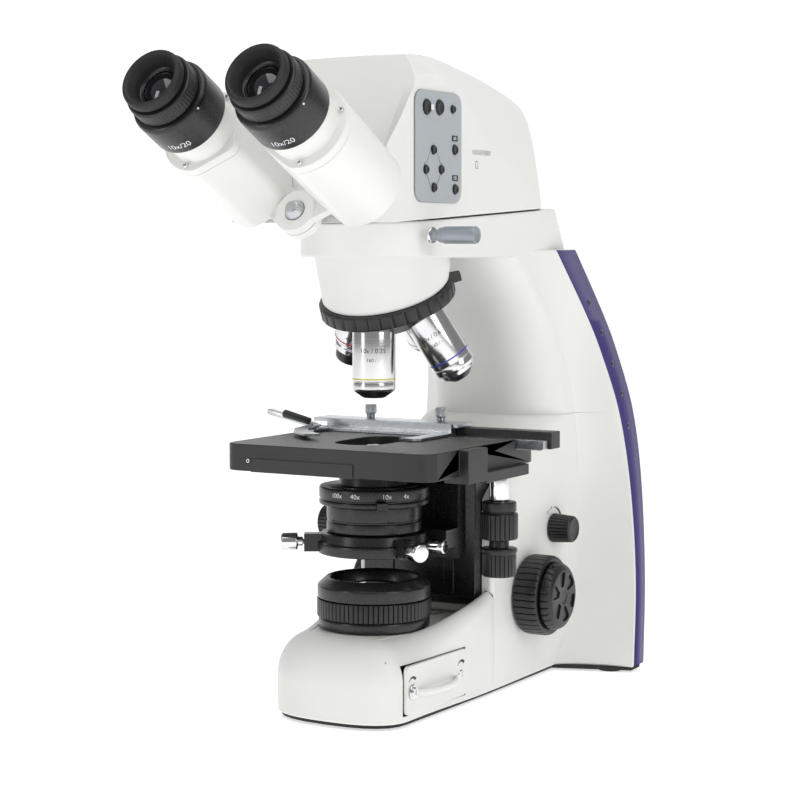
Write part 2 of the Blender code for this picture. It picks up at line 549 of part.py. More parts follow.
def build_stage(parent):
    half = STAGE_WIDTH / 2
    outline = rounded_rectangle((-half, STAGE_FRONT_Y), (half, STAGE_REAR_Y), 0.009)
    opening = rounded_rectangle((-0.017, -0.029), (0.017, 0.029), 0.0168, 5)
    plate = flat_outline("stage_plate", [outline, opening], STAGE_THICKNESS, "black_metal", parent,
                         (0, 0, STAGE_TOP_Z - STAGE_THICKNESS / 2))
    boolean(plate, block("rear_rebate", (-0.080, 0.0500, 0.1567), (0.080, 0.090, 0.170), "black_metal", parent))
    boolean(plate, block("drive_block", (0.0600, -0.0220, 0.1430), (0.0760, 0.0020, 0.1626), "black_metal", parent), "UNION")
    boolean(plate, block("drive_arm", (0.0560, 0.0010, 0.1415), (0.0760, 0.0560, 0.1480), "black_metal", parent), "UNION")
    boolean(plate, cylinder("drive_bore", 0.0046, 0.1300, 0.1520, "black_metal", parent, (DRIVE_X, DRIVE_Y, 0)))
    block("x_guide", (-0.0550, 0.0580, 0.1570), (0.0900, 0.0700, 0.1674), "black_metal", parent)

    carriage = block("x_carriage", (-0.0750, 0.0505, 0.1677), (0.0300, 0.0690, 0.1702), "grey_metal", parent)
    boolean(carriage, block("x_rack", (-0.0300, 0.0510, 0.1574), (0.0880, 0.0575, 0.1627), "chrome", parent), "UNION")
    boolean(carriage, block("rack_web", (-0.0250, 0.0510, 0.1600), (0.0250, 0.0570, 0.1690), "chrome", parent), "UNION")
    for x in (-0.040, 0.011):
        boolean(carriage, cylinder("thumb_hole", 0.0019, 0.1600, 0.1800, "chrome", parent, (x, 0.0633, 0)))

    holder = [(-0.068, 0.024), (-0.058, 0.024), (-0.058, 0.038), (0.018, 0.038), (0.018, 0.012), (0.014, 0.006),
              (0.024, 0.004), (0.028, 0.008), (0.028, 0.050), (-0.068, 0.050)]
    plate = flat_outline("slide_holder", [holder], 0.0015, "grey_metal", parent, (0, 0, STAGE_TOP_Z + 0.00105))
    lip = block("holder_lip", (-0.064, 0.0490, 0.1634), (0.026, 0.0502, 0.1700), "grey_metal", parent)
    boolean(plate, lip, "UNION")
    boolean(plate, cylinder("lever_hole", 0.0019, 0.160, 0.170, "grey_metal", parent, (-0.061, 0.032, 0)))

    joint = add_empty("lever_axis", parent, (-0.061, 0.032, 0))
    inner = [(0.052 + 0.052 * math.cos(math.radians(a)), 0.004 + 0.052 * math.sin(math.radians(a))) for a in (185, 205, 225, 245)]
    outer = [(0.050 + 0.058 * math.cos(math.radians(a)), 0.002 + 0.058 * math.sin(math.radians(a))) for a in (241, 222, 202, 184)]
    crescent = inner + outer + [(-0.006, 0.006), (0.0, 0.0075), (0.006, 0.006)]
    lever = flat_outline("holder_lever", [crescent], 0.0012, "grey_metal", joint, (0, 0, 0.1659))
    boolean(lever, cylinder("lever_pin", 0.0016, 0.1638, 0.1675, "grey_metal", joint), "UNION")
    stalk = block("lever_grip", (-0.030, -0.0028, 0.0), (0.004, 0.0028, 0.0036), "black_plastic", joint, 0.0008)
    stalk.location = (-0.018, 0.0, 0.1705)
    stalk.rotation_euler = (0, math.radians(14), math.radians(8))
    boolean(lever, stalk, "UNION")

    for label, x in (("left", -0.040), ("right", 0.011)):
        joint = add_empty("thumbscrew_axis_" + label, parent, (x, 0.0633, 0.1705))
        profile = [(0, 0.0085), (0.0030, 0.0085), (0.0036, 0.0079), (0.0036, 0.0020), (0.0025, 0.0015), (0.0025, 0.0),
                   (0.0016, 0.0), (0.0016, -0.0026), (0, -0.0026)]
        turned("thumbscrew_" + label, profile, "grey_metal", joint, steps=12)


def build_drive(parent):
    """Low coaxial knobs: the upper one drives Y, the lower one, on the inner shaft, drives X."""
    joint = add_empty("drive_axis", parent, (DRIVE_X, DRIVE_Y, 0.1412))
    upper = [(0.0028, 0.0), (0.0044, 0.0), (0.0044, -0.0150), (0.0106, -0.0155), (0.0106, -0.0215), (0.0112, -0.0222),
             (0.0112, -0.0375), (0.0104, -0.0382), (0.0028, -0.0382)]
    turned("y_knob", upper, "black_plastic", joint, steps=20)
    lower = [(0, 0.0080), (0.0025, 0.0080), (0.0025, -0.0385), (0.0060, -0.0388), (0.0060, -0.0430), (0.0110, -0.0434),
             (0.0110, -0.0460), (0.0102, -0.0470), (0.0102, -0.0600), (0.0094, -0.0608), (0, -0.0608)]
    turned("x_knob", lower, "black_plastic", joint, steps=20)


# ---------------------------------------------------------------- nosepiece and objectives
def build_turret(parent):
    axis = add_empty("turret_axis", parent, (0, 0, APEX_Z), (TURRET_TILT, 0, 0))
    profile = [(0, -0.0346), (0.0400, -0.0346), (0.0410, -0.0356), (0.0410, -0.0428), (0.0400, -0.0438),
               (0.0340, -0.0466), (0, -0.0612)]
    turned("nosepiece_turret", profile, "black_metal", axis)
    tips = {
        "10x": [(0.0129, -0.0905), (0.0118, -0.0925), (0.0060, -0.0960), (0, -0.0960)],
        "40x": [(0.0129, -0.0925), (0.0108, -0.0965), (0.0055, -0.1005), (0, -0.1005)],
        "100x": [(0.0129, -0.0905), (0.0100, -0.0955), (0.0045, -0.1008), (0, -0.1008)],
        "4x": [(0.0129, -0.0740), (0.0110, -0.0790), (0.0105, -0.0880), (0, -0.0880)],
    }
    for quarter, label in enumerate(("10x", "40x", "100x", "4x")):
        turn = Matrix.Rotation(math.radians(90 * quarter), 4, "Z") @ Matrix.Rotation(-TURRET_TILT, 4, "X")
        body = [(0, -SHOULDER_REACH), (OBJECTIVE_RADIUS - 0.0008, -SHOULDER_REACH),
                (OBJECTIVE_RADIUS, -SHOULDER_REACH - 0.0008)] + tips[label]
        lens = turned("objective_" + label, body, "chrome", axis, steps=20)
        lens.matrix_local = turn


# ---------------------------------------------------------------- camera head and eyepieces
HEAD_TOP = [(-0.0790, 0.3065), (-0.0650, 0.336), (-0.046, 0.3715), (-0.038, 0.3835), (-0.028, 0.3885), (0.010, 0.3915),
            (0.072, 0.3870), (0.120, 0.3785), (0.155, 0.3690), (0.163, 0.3610), (0.178, 0.3060)]
HEAD_ARCH = [(-0.0790, 0.3060), (-0.0650, 0.334), (-0.046, 0.3640), (-0.038, 0.3750), (-0.015, 0.3785), (0.006, 0.3780),
             (0.040, 0.364), (0.075, 0.3450), (0.105, 0.3240), (0.130, 0.3045), (0.178, 0.3040)]


def build_head(parent):
    def head_half(y):
        top = smooth_value(HEAD_TOP, y)
        arch = min(smooth_value(HEAD_ARCH, y), top - 0.0010)
        low = seam_z(y) + 0.0004
        arch = max(arch, low + 0.001)
        rear = max(0.0, (y - 0.120) / 0.058)
        side = STAND_HALF - 0.018 * rear ** 2
        shoulder = min(side, 0.030)
        lean = arch + 0.55 * (top - arch)
        return [(0, y, low), (side - 0.001, y, low), (side, y, low + 0.0005), (side, y, arch),
                (0.35 * shoulder + 0.65 * side, y, lean), (shoulder, y, top - 0.0010), (shoulder * 0.6, y, top),
                (0, y, top + 0.0005)]

    stations = (-0.0785, -0.065, -0.046, -0.038, -0.028, -0.010, 0.010, 0.040, 0.075, 0.105, 0.130, 0.152, 0.163, 0.177)
    head = loft("head_body", [both_sides(head_half(y)) for y in stations], "white_paint", parent)
    boolean(head, block("head_hollow", (-0.038, -0.020, 0.250), (0.038, 0.120, 0.340), "white_paint", parent))

    hinge = tube_hinge_frame(parent)
    recess = turned("tube_recess", [(0, 0.10), (0.0632, 0.10), (0.0632, -0.1335), (0, -0.1335)], "white_paint", hinge,
                    steps=SMOOTH_STEPS)
    boolean(head, recess)
    pivot = [(0, -0.1040), (0.0122, -0.1040), (0.0126, -0.1044), (0.0126, -0.1125), (0.0060, -0.1128),
             (0.0060, -0.1360), (0, -0.1360)]
    boolean(head, turned("tube_pivot", pivot, "white_paint", hinge, steps=20), "UNION")
    chin = block("head_chin", (-0.046, -0.090, 0.250), (0.046, -0.0500, 0.2925), "white_paint", parent)
    boolean(head, chin)

    camera = block("camera_block", (-0.022, 0.000, 0.3010), (0.022, 0.060, 0.3300), "black_metal", parent)
    boolean(camera, block("prism_seat", (-0.016, -0.015, 0.306), (0.016, 0.018, 0.340), "black_metal", parent))


def tube_hinge_frame(parent):
    """Local Z runs up the tubes to the eye; the local origin is level with the eyecup rims."""
    y = RIM_Y - HINGE_DROP * math.sin(TUBE_TILT)
    z = RIM_Z - HINGE_DROP * math.cos(TUBE_TILT)
    return add_empty("tube_hinge", parent, (0, y, z), (math.pi / 2 - TUBE_TILT, 0, 0))


def build_tubes(parent):
    for side, label in ((1, "right"), (-1, "left")):
        hinge = tube_hinge_frame(parent)
        centre = (side * HALF_PUPIL_DISTANCE, HINGE_DROP, 0)
        axis = add_empty("eyepiece_axis_" + label, hinge, centre)
        body = [(0.0153, -0.0410), (0.0215, -0.0410), (0.0222, -0.0416), (0.0222, -0.0660), (0.0243, -0.0662),
                (0.0243, -0.0720), (0.0240, -0.0726), (0.0215, -0.1290), (0.0195, -0.1310), (0, -0.1310),
                (0, -0.0760), (0.0153, -0.0760)]
        tube = turned("tube_" + label, body, "white_paint", axis)
        low, high = ((-0.1215, -0.1132), (-0.1303, -0.1220))[side < 0]
        reach = HINGE_RADIUS - 0.012
        web = block("tube_web", (0.0, -0.0100, low + 0.0004), (reach, 0.0100, high - 0.0004), "white_paint", hinge)
        web.location = (side * 0.5 * reach * math.cos(WEB_ANGLE), 0.5 * reach * math.sin(WEB_ANGLE), (low + high) / 2)
        web.rotation_euler = (0, 0, side * WEB_ANGLE)
        boolean(tube, web, "UNION")
        eye = cylinder("tube_knuckle", 0.0126, low, high, "white_paint", hinge, steps=20)
        boolean(tube, eye, "UNION")
        boolean(tube, cylinder("pivot_bore", 0.0063, low - 0.002, high + 0.002, "white_paint", hinge, steps=20))

        body = [(0, -0.0120), (0.0100, -0.0110), (0.0118, -0.0080), (0.0160, 0.0), (0.0175, -0.0012),
                (0.0176, -0.0060), (0.0160, -0.0075), (0.0160, -0.0185), (0.0228, -0.0192), (0.0228, -0.0407),
                (0.0150, -0.0407), (0.0150, -0.0700), (0.0130, -0.0700), (0.0130, -0.0300), (0, -0.0300)]
        turned("eyepiece_" + label, body, "black_plastic", axis)
        ring = [(0.0192, -0.0082), (0.0198, -0.0090), (0.0198, -0.0170), (0.0190, -0.0180), (0.0163, -0.0180),
                (0.0163, -0.0082)]
        turned("diopter_ring_" + label, ring, "black_plastic", axis)


def build_panel(parent):
    buttons = {
        "capture": (-0.0235, 0.3585, 0.0042), "record": (-0.0085, 0.3590, 0.0042), "power": (0.0075, 0.3588, 0.0022),
        "up": (-0.0155, 0.3345, 0.0024), "left": (-0.0245, 0.3230, 0.0024), "right": (-0.0065, 0.3235, 0.0024),
        "down": (-0.0150, 0.3130, 0.0024), "menu": (0.0100, 0.3355, 0.0027), "mode": (0.0105, 0.3125, 0.0027),
    }
    outlines = [rounded_rectangle((-0.0360, 0.3045), (0.0185, 0.3680), 0.007)]
    for y, z, radius in buttons.values():
        angles = [math.tau * k / 12 for k in range(12)]
        outlines.append([(y + (radius + 0.0005) * math.cos(a), z + (radius + 0.0005) * math.sin(a)) for a in angles])
    flat_outline("control_panel", outlines, 0.0009, "grey_panel", parent,
                 (PANEL_FACE_X - 0.00045, 0, 0), (math.pi / 2, 0, math.pi / 2))
    for label, (y, z, radius) in buttons.items():
        place = (STAND_HALF, y, z)
        turn = (0, math.pi / 2, 0)
        head = bpy.data.objects["head_body"]
        boolean(head, cylinder("button_well", radius + 0.0005, -0.0040, 0.004, "grey_panel", parent, place, turn, 10))
        profile = [(0, 0.0026), (radius - 0.0006, 0.0026), (radius, 0.0021), (radius, -0.0026), (0, -0.0026)]
        turned("button_" + label, profile, "black_plastic", parent, place, turn, steps=10)
    boolean(bpy.data.objects["head_body"],
            block("card_slot", (0.0460, 0.0340, 0.3338), (0.0500, 0.0580, 0.3368), "black_plastic", parent))


clear_scene()
PARTS = new_collection("microscope")
CUTTERS = new_collection("cutters")
frame = add_empty("optical_axis", None, (0, OPTICAL_Y, 0))
build_lower_stand(frame)
build_upper_stand(frame)
build_edge_strips(frame)
build_base(frame)
build_arm(frame)
build_field_unit(frame)
build_lamp_drawer(frame)
build_side_controls(frame)
build_focus(frame)
build_condenser(frame)
build_stage(frame)
build_drive(frame)
build_turret(frame)
build_head(frame)
build_tubes(frame)
build_panel(frame)
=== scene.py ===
"""Looks of a compound microscope with a digital camera head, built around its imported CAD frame.

Metres, +Z up. Pieces are modelled about the optical axis, as the CAD is, and then moved to its place.
"""
import json
import math

import bmesh
import bpy
from mathutils import Matrix, Vector

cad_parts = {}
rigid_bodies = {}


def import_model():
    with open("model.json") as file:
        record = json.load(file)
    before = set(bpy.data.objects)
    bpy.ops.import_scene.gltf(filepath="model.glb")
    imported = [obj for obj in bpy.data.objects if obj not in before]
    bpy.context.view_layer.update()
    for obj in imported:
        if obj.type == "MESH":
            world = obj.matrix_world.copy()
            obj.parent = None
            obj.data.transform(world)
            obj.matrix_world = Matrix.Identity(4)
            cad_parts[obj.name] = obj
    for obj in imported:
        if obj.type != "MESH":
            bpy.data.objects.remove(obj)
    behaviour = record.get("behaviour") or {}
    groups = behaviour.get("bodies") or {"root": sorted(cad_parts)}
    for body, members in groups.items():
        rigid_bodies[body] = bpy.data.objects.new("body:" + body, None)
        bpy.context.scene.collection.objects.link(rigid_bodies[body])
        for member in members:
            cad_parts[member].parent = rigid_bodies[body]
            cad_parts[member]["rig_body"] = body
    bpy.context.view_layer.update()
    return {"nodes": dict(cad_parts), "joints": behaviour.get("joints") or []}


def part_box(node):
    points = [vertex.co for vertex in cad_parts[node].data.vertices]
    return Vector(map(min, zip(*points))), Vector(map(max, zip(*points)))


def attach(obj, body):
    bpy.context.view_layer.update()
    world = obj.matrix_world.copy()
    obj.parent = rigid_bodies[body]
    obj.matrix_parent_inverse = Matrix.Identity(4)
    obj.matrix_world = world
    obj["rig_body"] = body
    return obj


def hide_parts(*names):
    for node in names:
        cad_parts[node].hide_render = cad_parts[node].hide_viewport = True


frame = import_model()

JOINTS = {joint["name"]: joint for joint in frame["joints"]}

# ---------------------------------------------------------------- places read from the frame
OPTICAL_Y = (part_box("condenser_lens")[0].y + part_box("condenser_lens")[1].y) / 2
OPTICAL = Matrix.Translation((0, OPTICAL_Y, 0))
STAND_BOTTOM_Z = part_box("stand_lower")[0].z
STAND_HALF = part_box("arm_head")[1].x
LEDGE_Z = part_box("stand_lower")[1].z
SHOULDER_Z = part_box("stand_upper")[1].z
ARM_UNDERSIDE_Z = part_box("arm_head")[0].z
FIELD_BOTTOM_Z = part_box("field_mount")[0].z
STAGE_TOP_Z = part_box("stage_plate")[1].z
CONDENSER_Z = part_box("condenser_body")[0].z
PANEL_FACE_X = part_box("control_panel")[1].x
SEAM_SLOPE = 0.0563
SEAM_AT_AXIS_Z = 0.2958


def joint_place(name):
    return Vector(JOINTS[name]["pos_m"])


def at_joint(name):
    return Matrix.Translation(joint_place(name))


def moved(x, y, z):
    return Matrix.Translation((x, y, z))


def spun(degrees, axis="Z"):
    return Matrix.Rotation(math.radians(degrees), 4, axis)


TURRET_AXIS = Vector(JOINTS["nosepiece_turn"]["axis"])
TURRET_TILT = math.atan2(TURRET_AXIS.y, -TURRET_AXIS.z)
TURRET = at_joint("nosepiece_turn") @ Matrix.Rotation(TURRET_TILT, 4, "X")
TUBE_AXIS = Vector(JOINTS["tube_swing_right"]["axis"])
TUBE_TILT = math.atan2(TUBE_AXIS.z, -TUBE_AXIS.y)
UP_THE_TUBE = Matrix.Rotation(math.pi / 2 - TUBE_TILT, 4, "X")
TUBE_HINGE = at_joint("tube_swing_right") @ UP_THE_TUBE
HINGE_TO_TUBE = UP_THE_TUBE.inverted() @ (joint_place("diopter_turn_right") - joint_place("tube_swing_right"))
HINGE_DROP = HINGE_TO_TUBE.y


# ---------------------------------------------------------------- materials
def surface(name, colour, roughness, metallic=0.0, spread=0.05, grain=900.0, depth=0.00002, rough_spread=0.08,
            stretch=(1, 1, 1), coat=0.0):
    """A shader whose colour, gloss and relief vary with fine noise. depth is the grain's height."""
    material = bpy.data.materials.new(name)
    material.use_nodes = True
    nodes, links = material.node_tree.nodes, material.node_tree.links
    shader = nodes["Principled BSDF"]
    shader.inputs["Metallic"].default_value = metallic
    shader.inputs["Coat Weight"].default_value = coat
    place = nodes.new("ShaderNodeTexCoord")
    scale = nodes.new("ShaderNodeMapping")
    scale.inputs["Scale"].default_value = stretch
    links.new(place.outputs["Object"], scale.inputs["Vector"])

    def noise(size, detail):
        node = nodes.new("ShaderNodeTexNoise")
        node.inputs["Scale"].default_value = size
        node.inputs["Detail"].default_value = detail
        links.new(scale.outputs["Vector"], node.inputs["Vector"])
        return node.outputs["Fac"]

    def spread_over(source, low, high):
        node = nodes.new("ShaderNodeMapRange")
        node.inputs["From Min"].default_value = 0.3
        node.inputs["From Max"].default_value = 0.7
        node.inputs["To Min"].default_value = low
        node.inputs["To Max"].default_value = high
        links.new(source, node.inputs["Value"])
        return node.outputs["Result"]

    coarse, fine = noise(grain / 25, 3), noise(grain, 2)
    mix = nodes.new("ShaderNodeMix")
    mix.data_type = "RGBA"
    mix.inputs["A"].default_value = (*[c * (1 - spread) for c in colour], 1)
    mix.inputs["B"].default_value = (*[min(c * (1 + spread), 1) for c in colour], 1)
    links.new(coarse, mix.inputs["Factor"])
    links.new(mix.outputs["Result"], shader.inputs["Base Color"])
    links.new(spread_over(fine, roughness - rough_spread, roughness + rough_spread),
              shader.inputs["Roughness"])
    bump = nodes.new("ShaderNodeBump")
    bump.inputs["Strength"].default_value = 1.0
    bump.inputs["Distance"].default_value = depth
    links.new(fine, bump.inputs["Height"])
    links.new(bump.outputs["Normal"], shader.inputs["Normal"])
    return material


# Each look: the record's slot, colour, roughness and what differs from surface()'s defaults.
SURFACES = {
    "white_paint": ("white_paint", (0.80, 0.80, 0.775), 0.42, dict(grain=1500, depth=0.00004, spread=0.012)),
    "black_stage": ("black_metal", (0.016, 0.016, 0.016), 0.42, dict(grain=1800, depth=0.00002)),
    "black_metal": ("black_metal", (0.012, 0.012, 0.013), 0.30, dict(grain=1500, depth=0.00001)),
    "black_plastic": ("black_plastic", (0.013, 0.013, 0.014), 0.38, dict(grain=1700, depth=0.000025)),
    "rubber": ("base_rubber", (0.010, 0.010, 0.010), 0.62, dict(grain=1400, depth=0.00004)),
    "chrome": ("chrome", (0.74, 0.74, 0.75), 0.10,
               dict(metallic=1.0, rough_spread=0.03, grain=600, depth=0.000002)),
    "turned_chrome": ("chrome", (0.70, 0.70, 0.71), 0.17,
                      dict(metallic=1.0, rough_spread=0.05, grain=500, depth=0.000004,
                           stretch=(0.15, 0.15, 6.0))),
    "grey_metal": ("grey_metal", (0.50, 0.52, 0.54), 0.30,
                   dict(metallic=1.0, rough_spread=0.06, grain=700, depth=0.000004, stretch=(0.3, 4, 1))),
    "grey_knob": ("grey_metal", (0.30, 0.33, 0.36), 0.36, dict(metallic=0.4, grain=1200, depth=0.00001)),
    "grey_panel": ("grey_panel", (0.40, 0.43, 0.45), 0.42, dict(grain=1600, depth=0.00001, spread=0.04)),
    "indigo": ("indigo_strip", (0.040, 0.030, 0.165), 0.38, dict(grain=1500, depth=0.00001, spread=0.06)),
    "lens": ("clear_glass", (0.006, 0.006, 0.010), 0.05,
             dict(rough_spread=0.01, grain=300, depth=0.0, coat=1.0)),
    "pale_lens": ("clear_glass", (0.30, 0.34, 0.36), 0.06,
                  dict(rough_spread=0.01, grain=300, depth=0.0, coat=1.0)),
    "white_print": ("white_paint", (0.75, 0.75, 0.75), 0.5, dict(grain=2000, depth=0.0)),
    "black_print": ("black_plastic", (0.015, 0.015, 0.015), 0.5, dict(grain=2000, depth=0.0)),
    "yellow_ring": ("chrome", (0.75, 0.60, 0.03), 0.35, dict(depth=0.0)),
    "blue_ring": ("chrome", (0.03, 0.06, 0.45), 0.35, dict(depth=0.0)),
    "red_ring": ("chrome", (0.60, 0.03, 0.03), 0.35, dict(depth=0.0)),
}
LOOKS = {look: (surface(look, colour, roughness, **more), slot)
         for look, (slot, colour, roughness, more) in SURFACES.items()}


# ---------------------------------------------------------------- modelling helpers
def new_piece(name, form, matrix=OPTICAL):
    """An object from a bmesh, its own coordinates placed by matrix."""
    bmesh.ops.recalc_face_normals(form, faces=form.faces)
    mesh = bpy.data.meshes.new(name)
    form.to_mesh(mesh)
    form.free()
    piece = bpy.data.objects.new(name, mesh)
    bpy.context.scene.collection.objects.link(piece)
    piece.matrix_world = matrix
    return piece


def combine(piece, operation, tools):
    """Boolean the tools into piece, and remove them."""
    for tool in tools:
        modifier = piece.modifiers.new(operation.lower(), "BOOLEAN")
        modifier.operation = operation
        modifier.object = tool
    bpy.context.view_layer.update()
    solid = piece.evaluated_get(bpy.context.evaluated_depsgraph_get())
    old, piece.data = piece.data, bpy.data.meshes.new_from_object(solid)
    piece.modifiers.clear()
    bpy.data.meshes.remove(old)
    for tool in tools:
        bpy.data.objects.remove(tool, do_unlink=True)
    return piece


def dress(piece, body, look, replaces=(), sharp=35.0, bevel=0.0, segments=2):
    """Give a finished piece its material, its smooth shading, rounded edges and the body it rides on."""
    piece.data.shade_smooth()
    piece.data.set_sharp_from_angle(angle=math.radians(sharp))
    if bevel:
        rounding = piece.modifiers.new("round", "BEVEL")
        rounding.width = bevel
        rounding.segments = segments
        rounding.limit_method = "ANGLE"
        rounding.angle_limit = math.radians(sharp)
        rounding.harden_normals = True
    material, slot = LOOKS[look]
    piece.data.materials.clear()
    piece.data.materials.append(material)
    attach(piece, body)
    if replaces:
        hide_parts(*replaces)
    return piece


def lathe(name, profile, segments, place, body, look, replaces=(), ribs=None):
    """A finished piece turned about the place's local Z."""
    return dress(new_piece(name, turned(profile, segments, ribs), place), body, look, replaces)


def refined(node, look, bevel, cuts=(), sharp=35.0):
    """The CAD node's own shape with rounded edges."""
    source = frame["nodes"][node]
    form = bmesh.new()
    form.from_mesh(source.data)
    bmesh.ops.remove_doubles(form, verts=form.verts, dist=0.000002)
    bmesh.ops.dissolve_limit(form, angle_limit=math.radians(1), verts=form.verts, edges=form.edges)
    piece = new_piece(node + "_skin", form, Matrix.Identity(4))
    if cuts:
        combine(piece, "DIFFERENCE", cuts)
    return dress(piece, source["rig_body"], look, [node], sharp, bevel)


def soften(profile, radius, steps=2):
    """Round the corners of an open profile."""
    points = [Vector(point) for point in profile]
    result = [points[0]]
    for before, corner, after in zip(points, points[1:], points[2:]):
        reach = min(radius, 0.45 * (corner - before).length, 0.45 * (after - corner).length)
        start = corner + (before - corner).normalized() * reach
        end = corner + (after - corner).normalized() * reach
        for k in range(steps + 1):
            t = k / steps
            result.append((1 - t) ** 2 * start + 2 * t * (1 - t) * corner + t * t * end)
    result.append(points[-1])
    return result


def turned(profile, segments=96, ribs=None):
    """A form turned about local Z from (radius, height) points.

    ribs(angle, radius, height) gives a changed radius.
    """
    form = bmesh.new()
    rings = []
    for radius, height in profile:
        if radius < 0.000001:
            rings.append([form.verts.new((0, 0, height))])
            continue
        ring = []
        for k in range(segments):
            angle = math.tau * k / segments
            reach = ribs(angle, radius, height) if ribs else radius
            ring.append(form.verts.new((reach * math.cos(angle), reach * math.sin(angle), height)))
        rings.append(ring)
    pairs = list(zip(rings, rings[1:]))
    if len(rings[0]) > 1 and len(rings[-1]) > 1:
        pairs.append((rings[-1], rings[0]))
    for upper, lower in pairs:
        for k in range(segments):
            j = (k + 1) % segments
            if len(upper) == 1:
                form.faces.new((upper[0], lower[k], lower[j]))
            elif len(lower) == 1:
                form.faces.new((upper[k], lower[0], upper[j]))
            else:
                form.faces.new((upper[k], lower[k], lower[j], upper[j]))
    return form


def rod(radius, low, high, segments):
    return turned([(0, high), (radius, high), (radius, low), (0, low)], segments)


def ribbed(count, depth, low, high, inner, sharpness=6):
    """A rib pattern for turned(): grooves between low and high, on what lies outside the inner radius."""
    def ribs(angle, radius, height):
        if radius < inner or not low <= height <= high:
            return radius
        return radius - depth * max(0.0, math.cos(count * angle)) ** sharpness
    return ribs


def skin(rings):
    """A closed form through a stack of outlines, each a list of as many points."""
    form = bmesh.new()
    rows = [[form.verts.new(point) for point in ring] for ring in rings]
    count = len(rows[0])
    for lower, upper in zip(rows, rows[1:]):
        for i in range(count):
            j = (i + 1) % count
            form.faces.new((lower[i], lower[j], upper[j], upper[i]))
    form.faces.new(reversed(rows[0]))
    form.faces.new(rows[-1])
    return form


def shrunk(ring, amount):
    """An anticlockwise outline of (x, y, z) points moved inwards, level."""
    result = []
    count = len(ring)
    for i, (x, y, z) in enumerate(ring):
        ahead = Vector(ring[(i + 1) % count][:2]) - Vector((x, y))
        behind = Vector((x, y)) - Vector(ring[i - 1][:2])
        way = ahead.normalized() + behind.normalized()
        way.normalize()
        result.append((x - way.y * amount, y + way.x * amount, z))
    return result


def both_sides(half):
    """Close a half outline, from front centre to back centre, with its mirror image."""
    return half + [(-x, *rest) for x, *rest in reversed(half[1:-1])]


def smooth_value(stations, at):
    """Read a smooth curve through (position, value) stations, by cubic Hermite pieces."""
    places = [place for place, _ in stations]
    values = [value for _, value in stations]
    last = len(stations) - 1

    def slope(i):
        a, b = max(i - 1, 0), min(i + 1, last)
        return (values[b] - values[a]) / (places[b] - places[a])

    at = min(max(at, places[0]), places[-1])
    i = next(k for k in range(last) if at <= places[k + 1])
    span = places[i + 1] - places[i]
    t = (at - places[i]) / span
    rise = values[i + 1] - values[i]
    start, end = slope(i) * span, slope(i + 1) * span
    return values[i] + t * (start + t * (3 * rise - 2 * start - end + t * (start + end - 2 * rise)))


def steps_between(low, high, count):
    return [low + (high - low) * k / count for k in range(count + 1)]


def bend(start, control, end, steps):
    """Points along a quadratic curve, without its start."""
    start, control, end = Vector(start), Vector(control), Vector(end)
    return [tuple((1 - t) ** 2 * start + 2 * t * (1 - t) * control + t * t * end)
            for t in (k / steps for k in range(1, steps + 1))]


def block(low, high):
    low, high = Vector(low), Vector(high)
    form = bmesh.new()
    middle = Matrix.Translation((low + high) / 2) @ Matrix.Diagonal((*(high - low), 1.0))
    bmesh.ops.create_cube(form, size=1.0, matrix=middle)
    return form


def extruded(points, low, high):
    """A flat outline of (x, y) points, solid from z low to z high."""
    return skin([[(x, y, z) for x, y in points] for z in (low, high)])


def rounded_rectangle(low, high, radius, steps=6):
    (x0, y0), (x1, y1) = low, high
    corners = ((x1 - radius, y0 + radius, -90), (x1 - radius, y1 - radius, 0),
               (x0 + radius, y1 - radius, 90), (x0 + radius, y0 + radius, 180))
    return [(cx + radius * math.cos(a), cy + radius * math.sin(a))
            for cx, cy, start in corners
            for a in (math.radians(start + 90 * k / steps) for k in range(steps + 1))]


def merged(forms):
    """One bmesh of several separate ones."""
    whole = bmesh.new()
    for form in forms:
        mesh = bpy.data.meshes.new("part")
        form.to_mesh(mesh)
        form.free()
        whole.from_mesh(mesh)
        bpy.data.meshes.remove(mesh)
    return whole


def lettering(text, size, thickness=0.00008):
    """Flat generic lettering as a form, centred on the local origin."""
    curve = bpy.data.curves.new("lettering", "FONT")
    curve.body = text
    curve.size = size
    curve.extrude = thickness / 2
    curve.align_x = "CENTER"
    curve.align_y = "CENTER"
    letters = bpy.data.objects.new("lettering", curve)
    bpy.context.scene.collection.objects.link(letters)
    bpy.context.view_layer.update()
    mesh = bpy.data.meshes.new_from_object(letters.evaluated_get(bpy.context.evaluated_depsgraph_get()))
    bpy.data.objects.remove(letters, do_unlink=True)
    form = bmesh.new()
    form.from_mesh(mesh)
    bmesh.ops.remove_doubles(form, verts=form.verts, dist=0.000001)
    return form


def wrapped(form, radius, height, facing, upside=1):
    """Bend a flat form round local Z. facing is the angle of its middle; upside -1 turns it over."""
    for vertex in form.verts:
        x, y, z = vertex.co
        angle = facing + upside * x / radius
        vertex.co = ((radius + z) * math.cos(angle), (radius + z) * math.sin(angle), height + upside * y)
    return form


SIDEWAYS = Matrix.Rotation(math.pi / 2, 4, "Y")


def side_frame(x):
    """A frame on a right-hand wall: local X runs along world Y, local Y up and local Z out of the wall."""
    return OPTICAL @ Matrix(((0, 0, 1, x), (1, 0, 0, 0), (0, 1, 0, 0), (0, 0, 0, 1)))


def seam_z(y):
    """The height of the seam between the arm and the camera head."""
    return SEAM_AT_AXIS_Z + SEAM_SLOPE * y


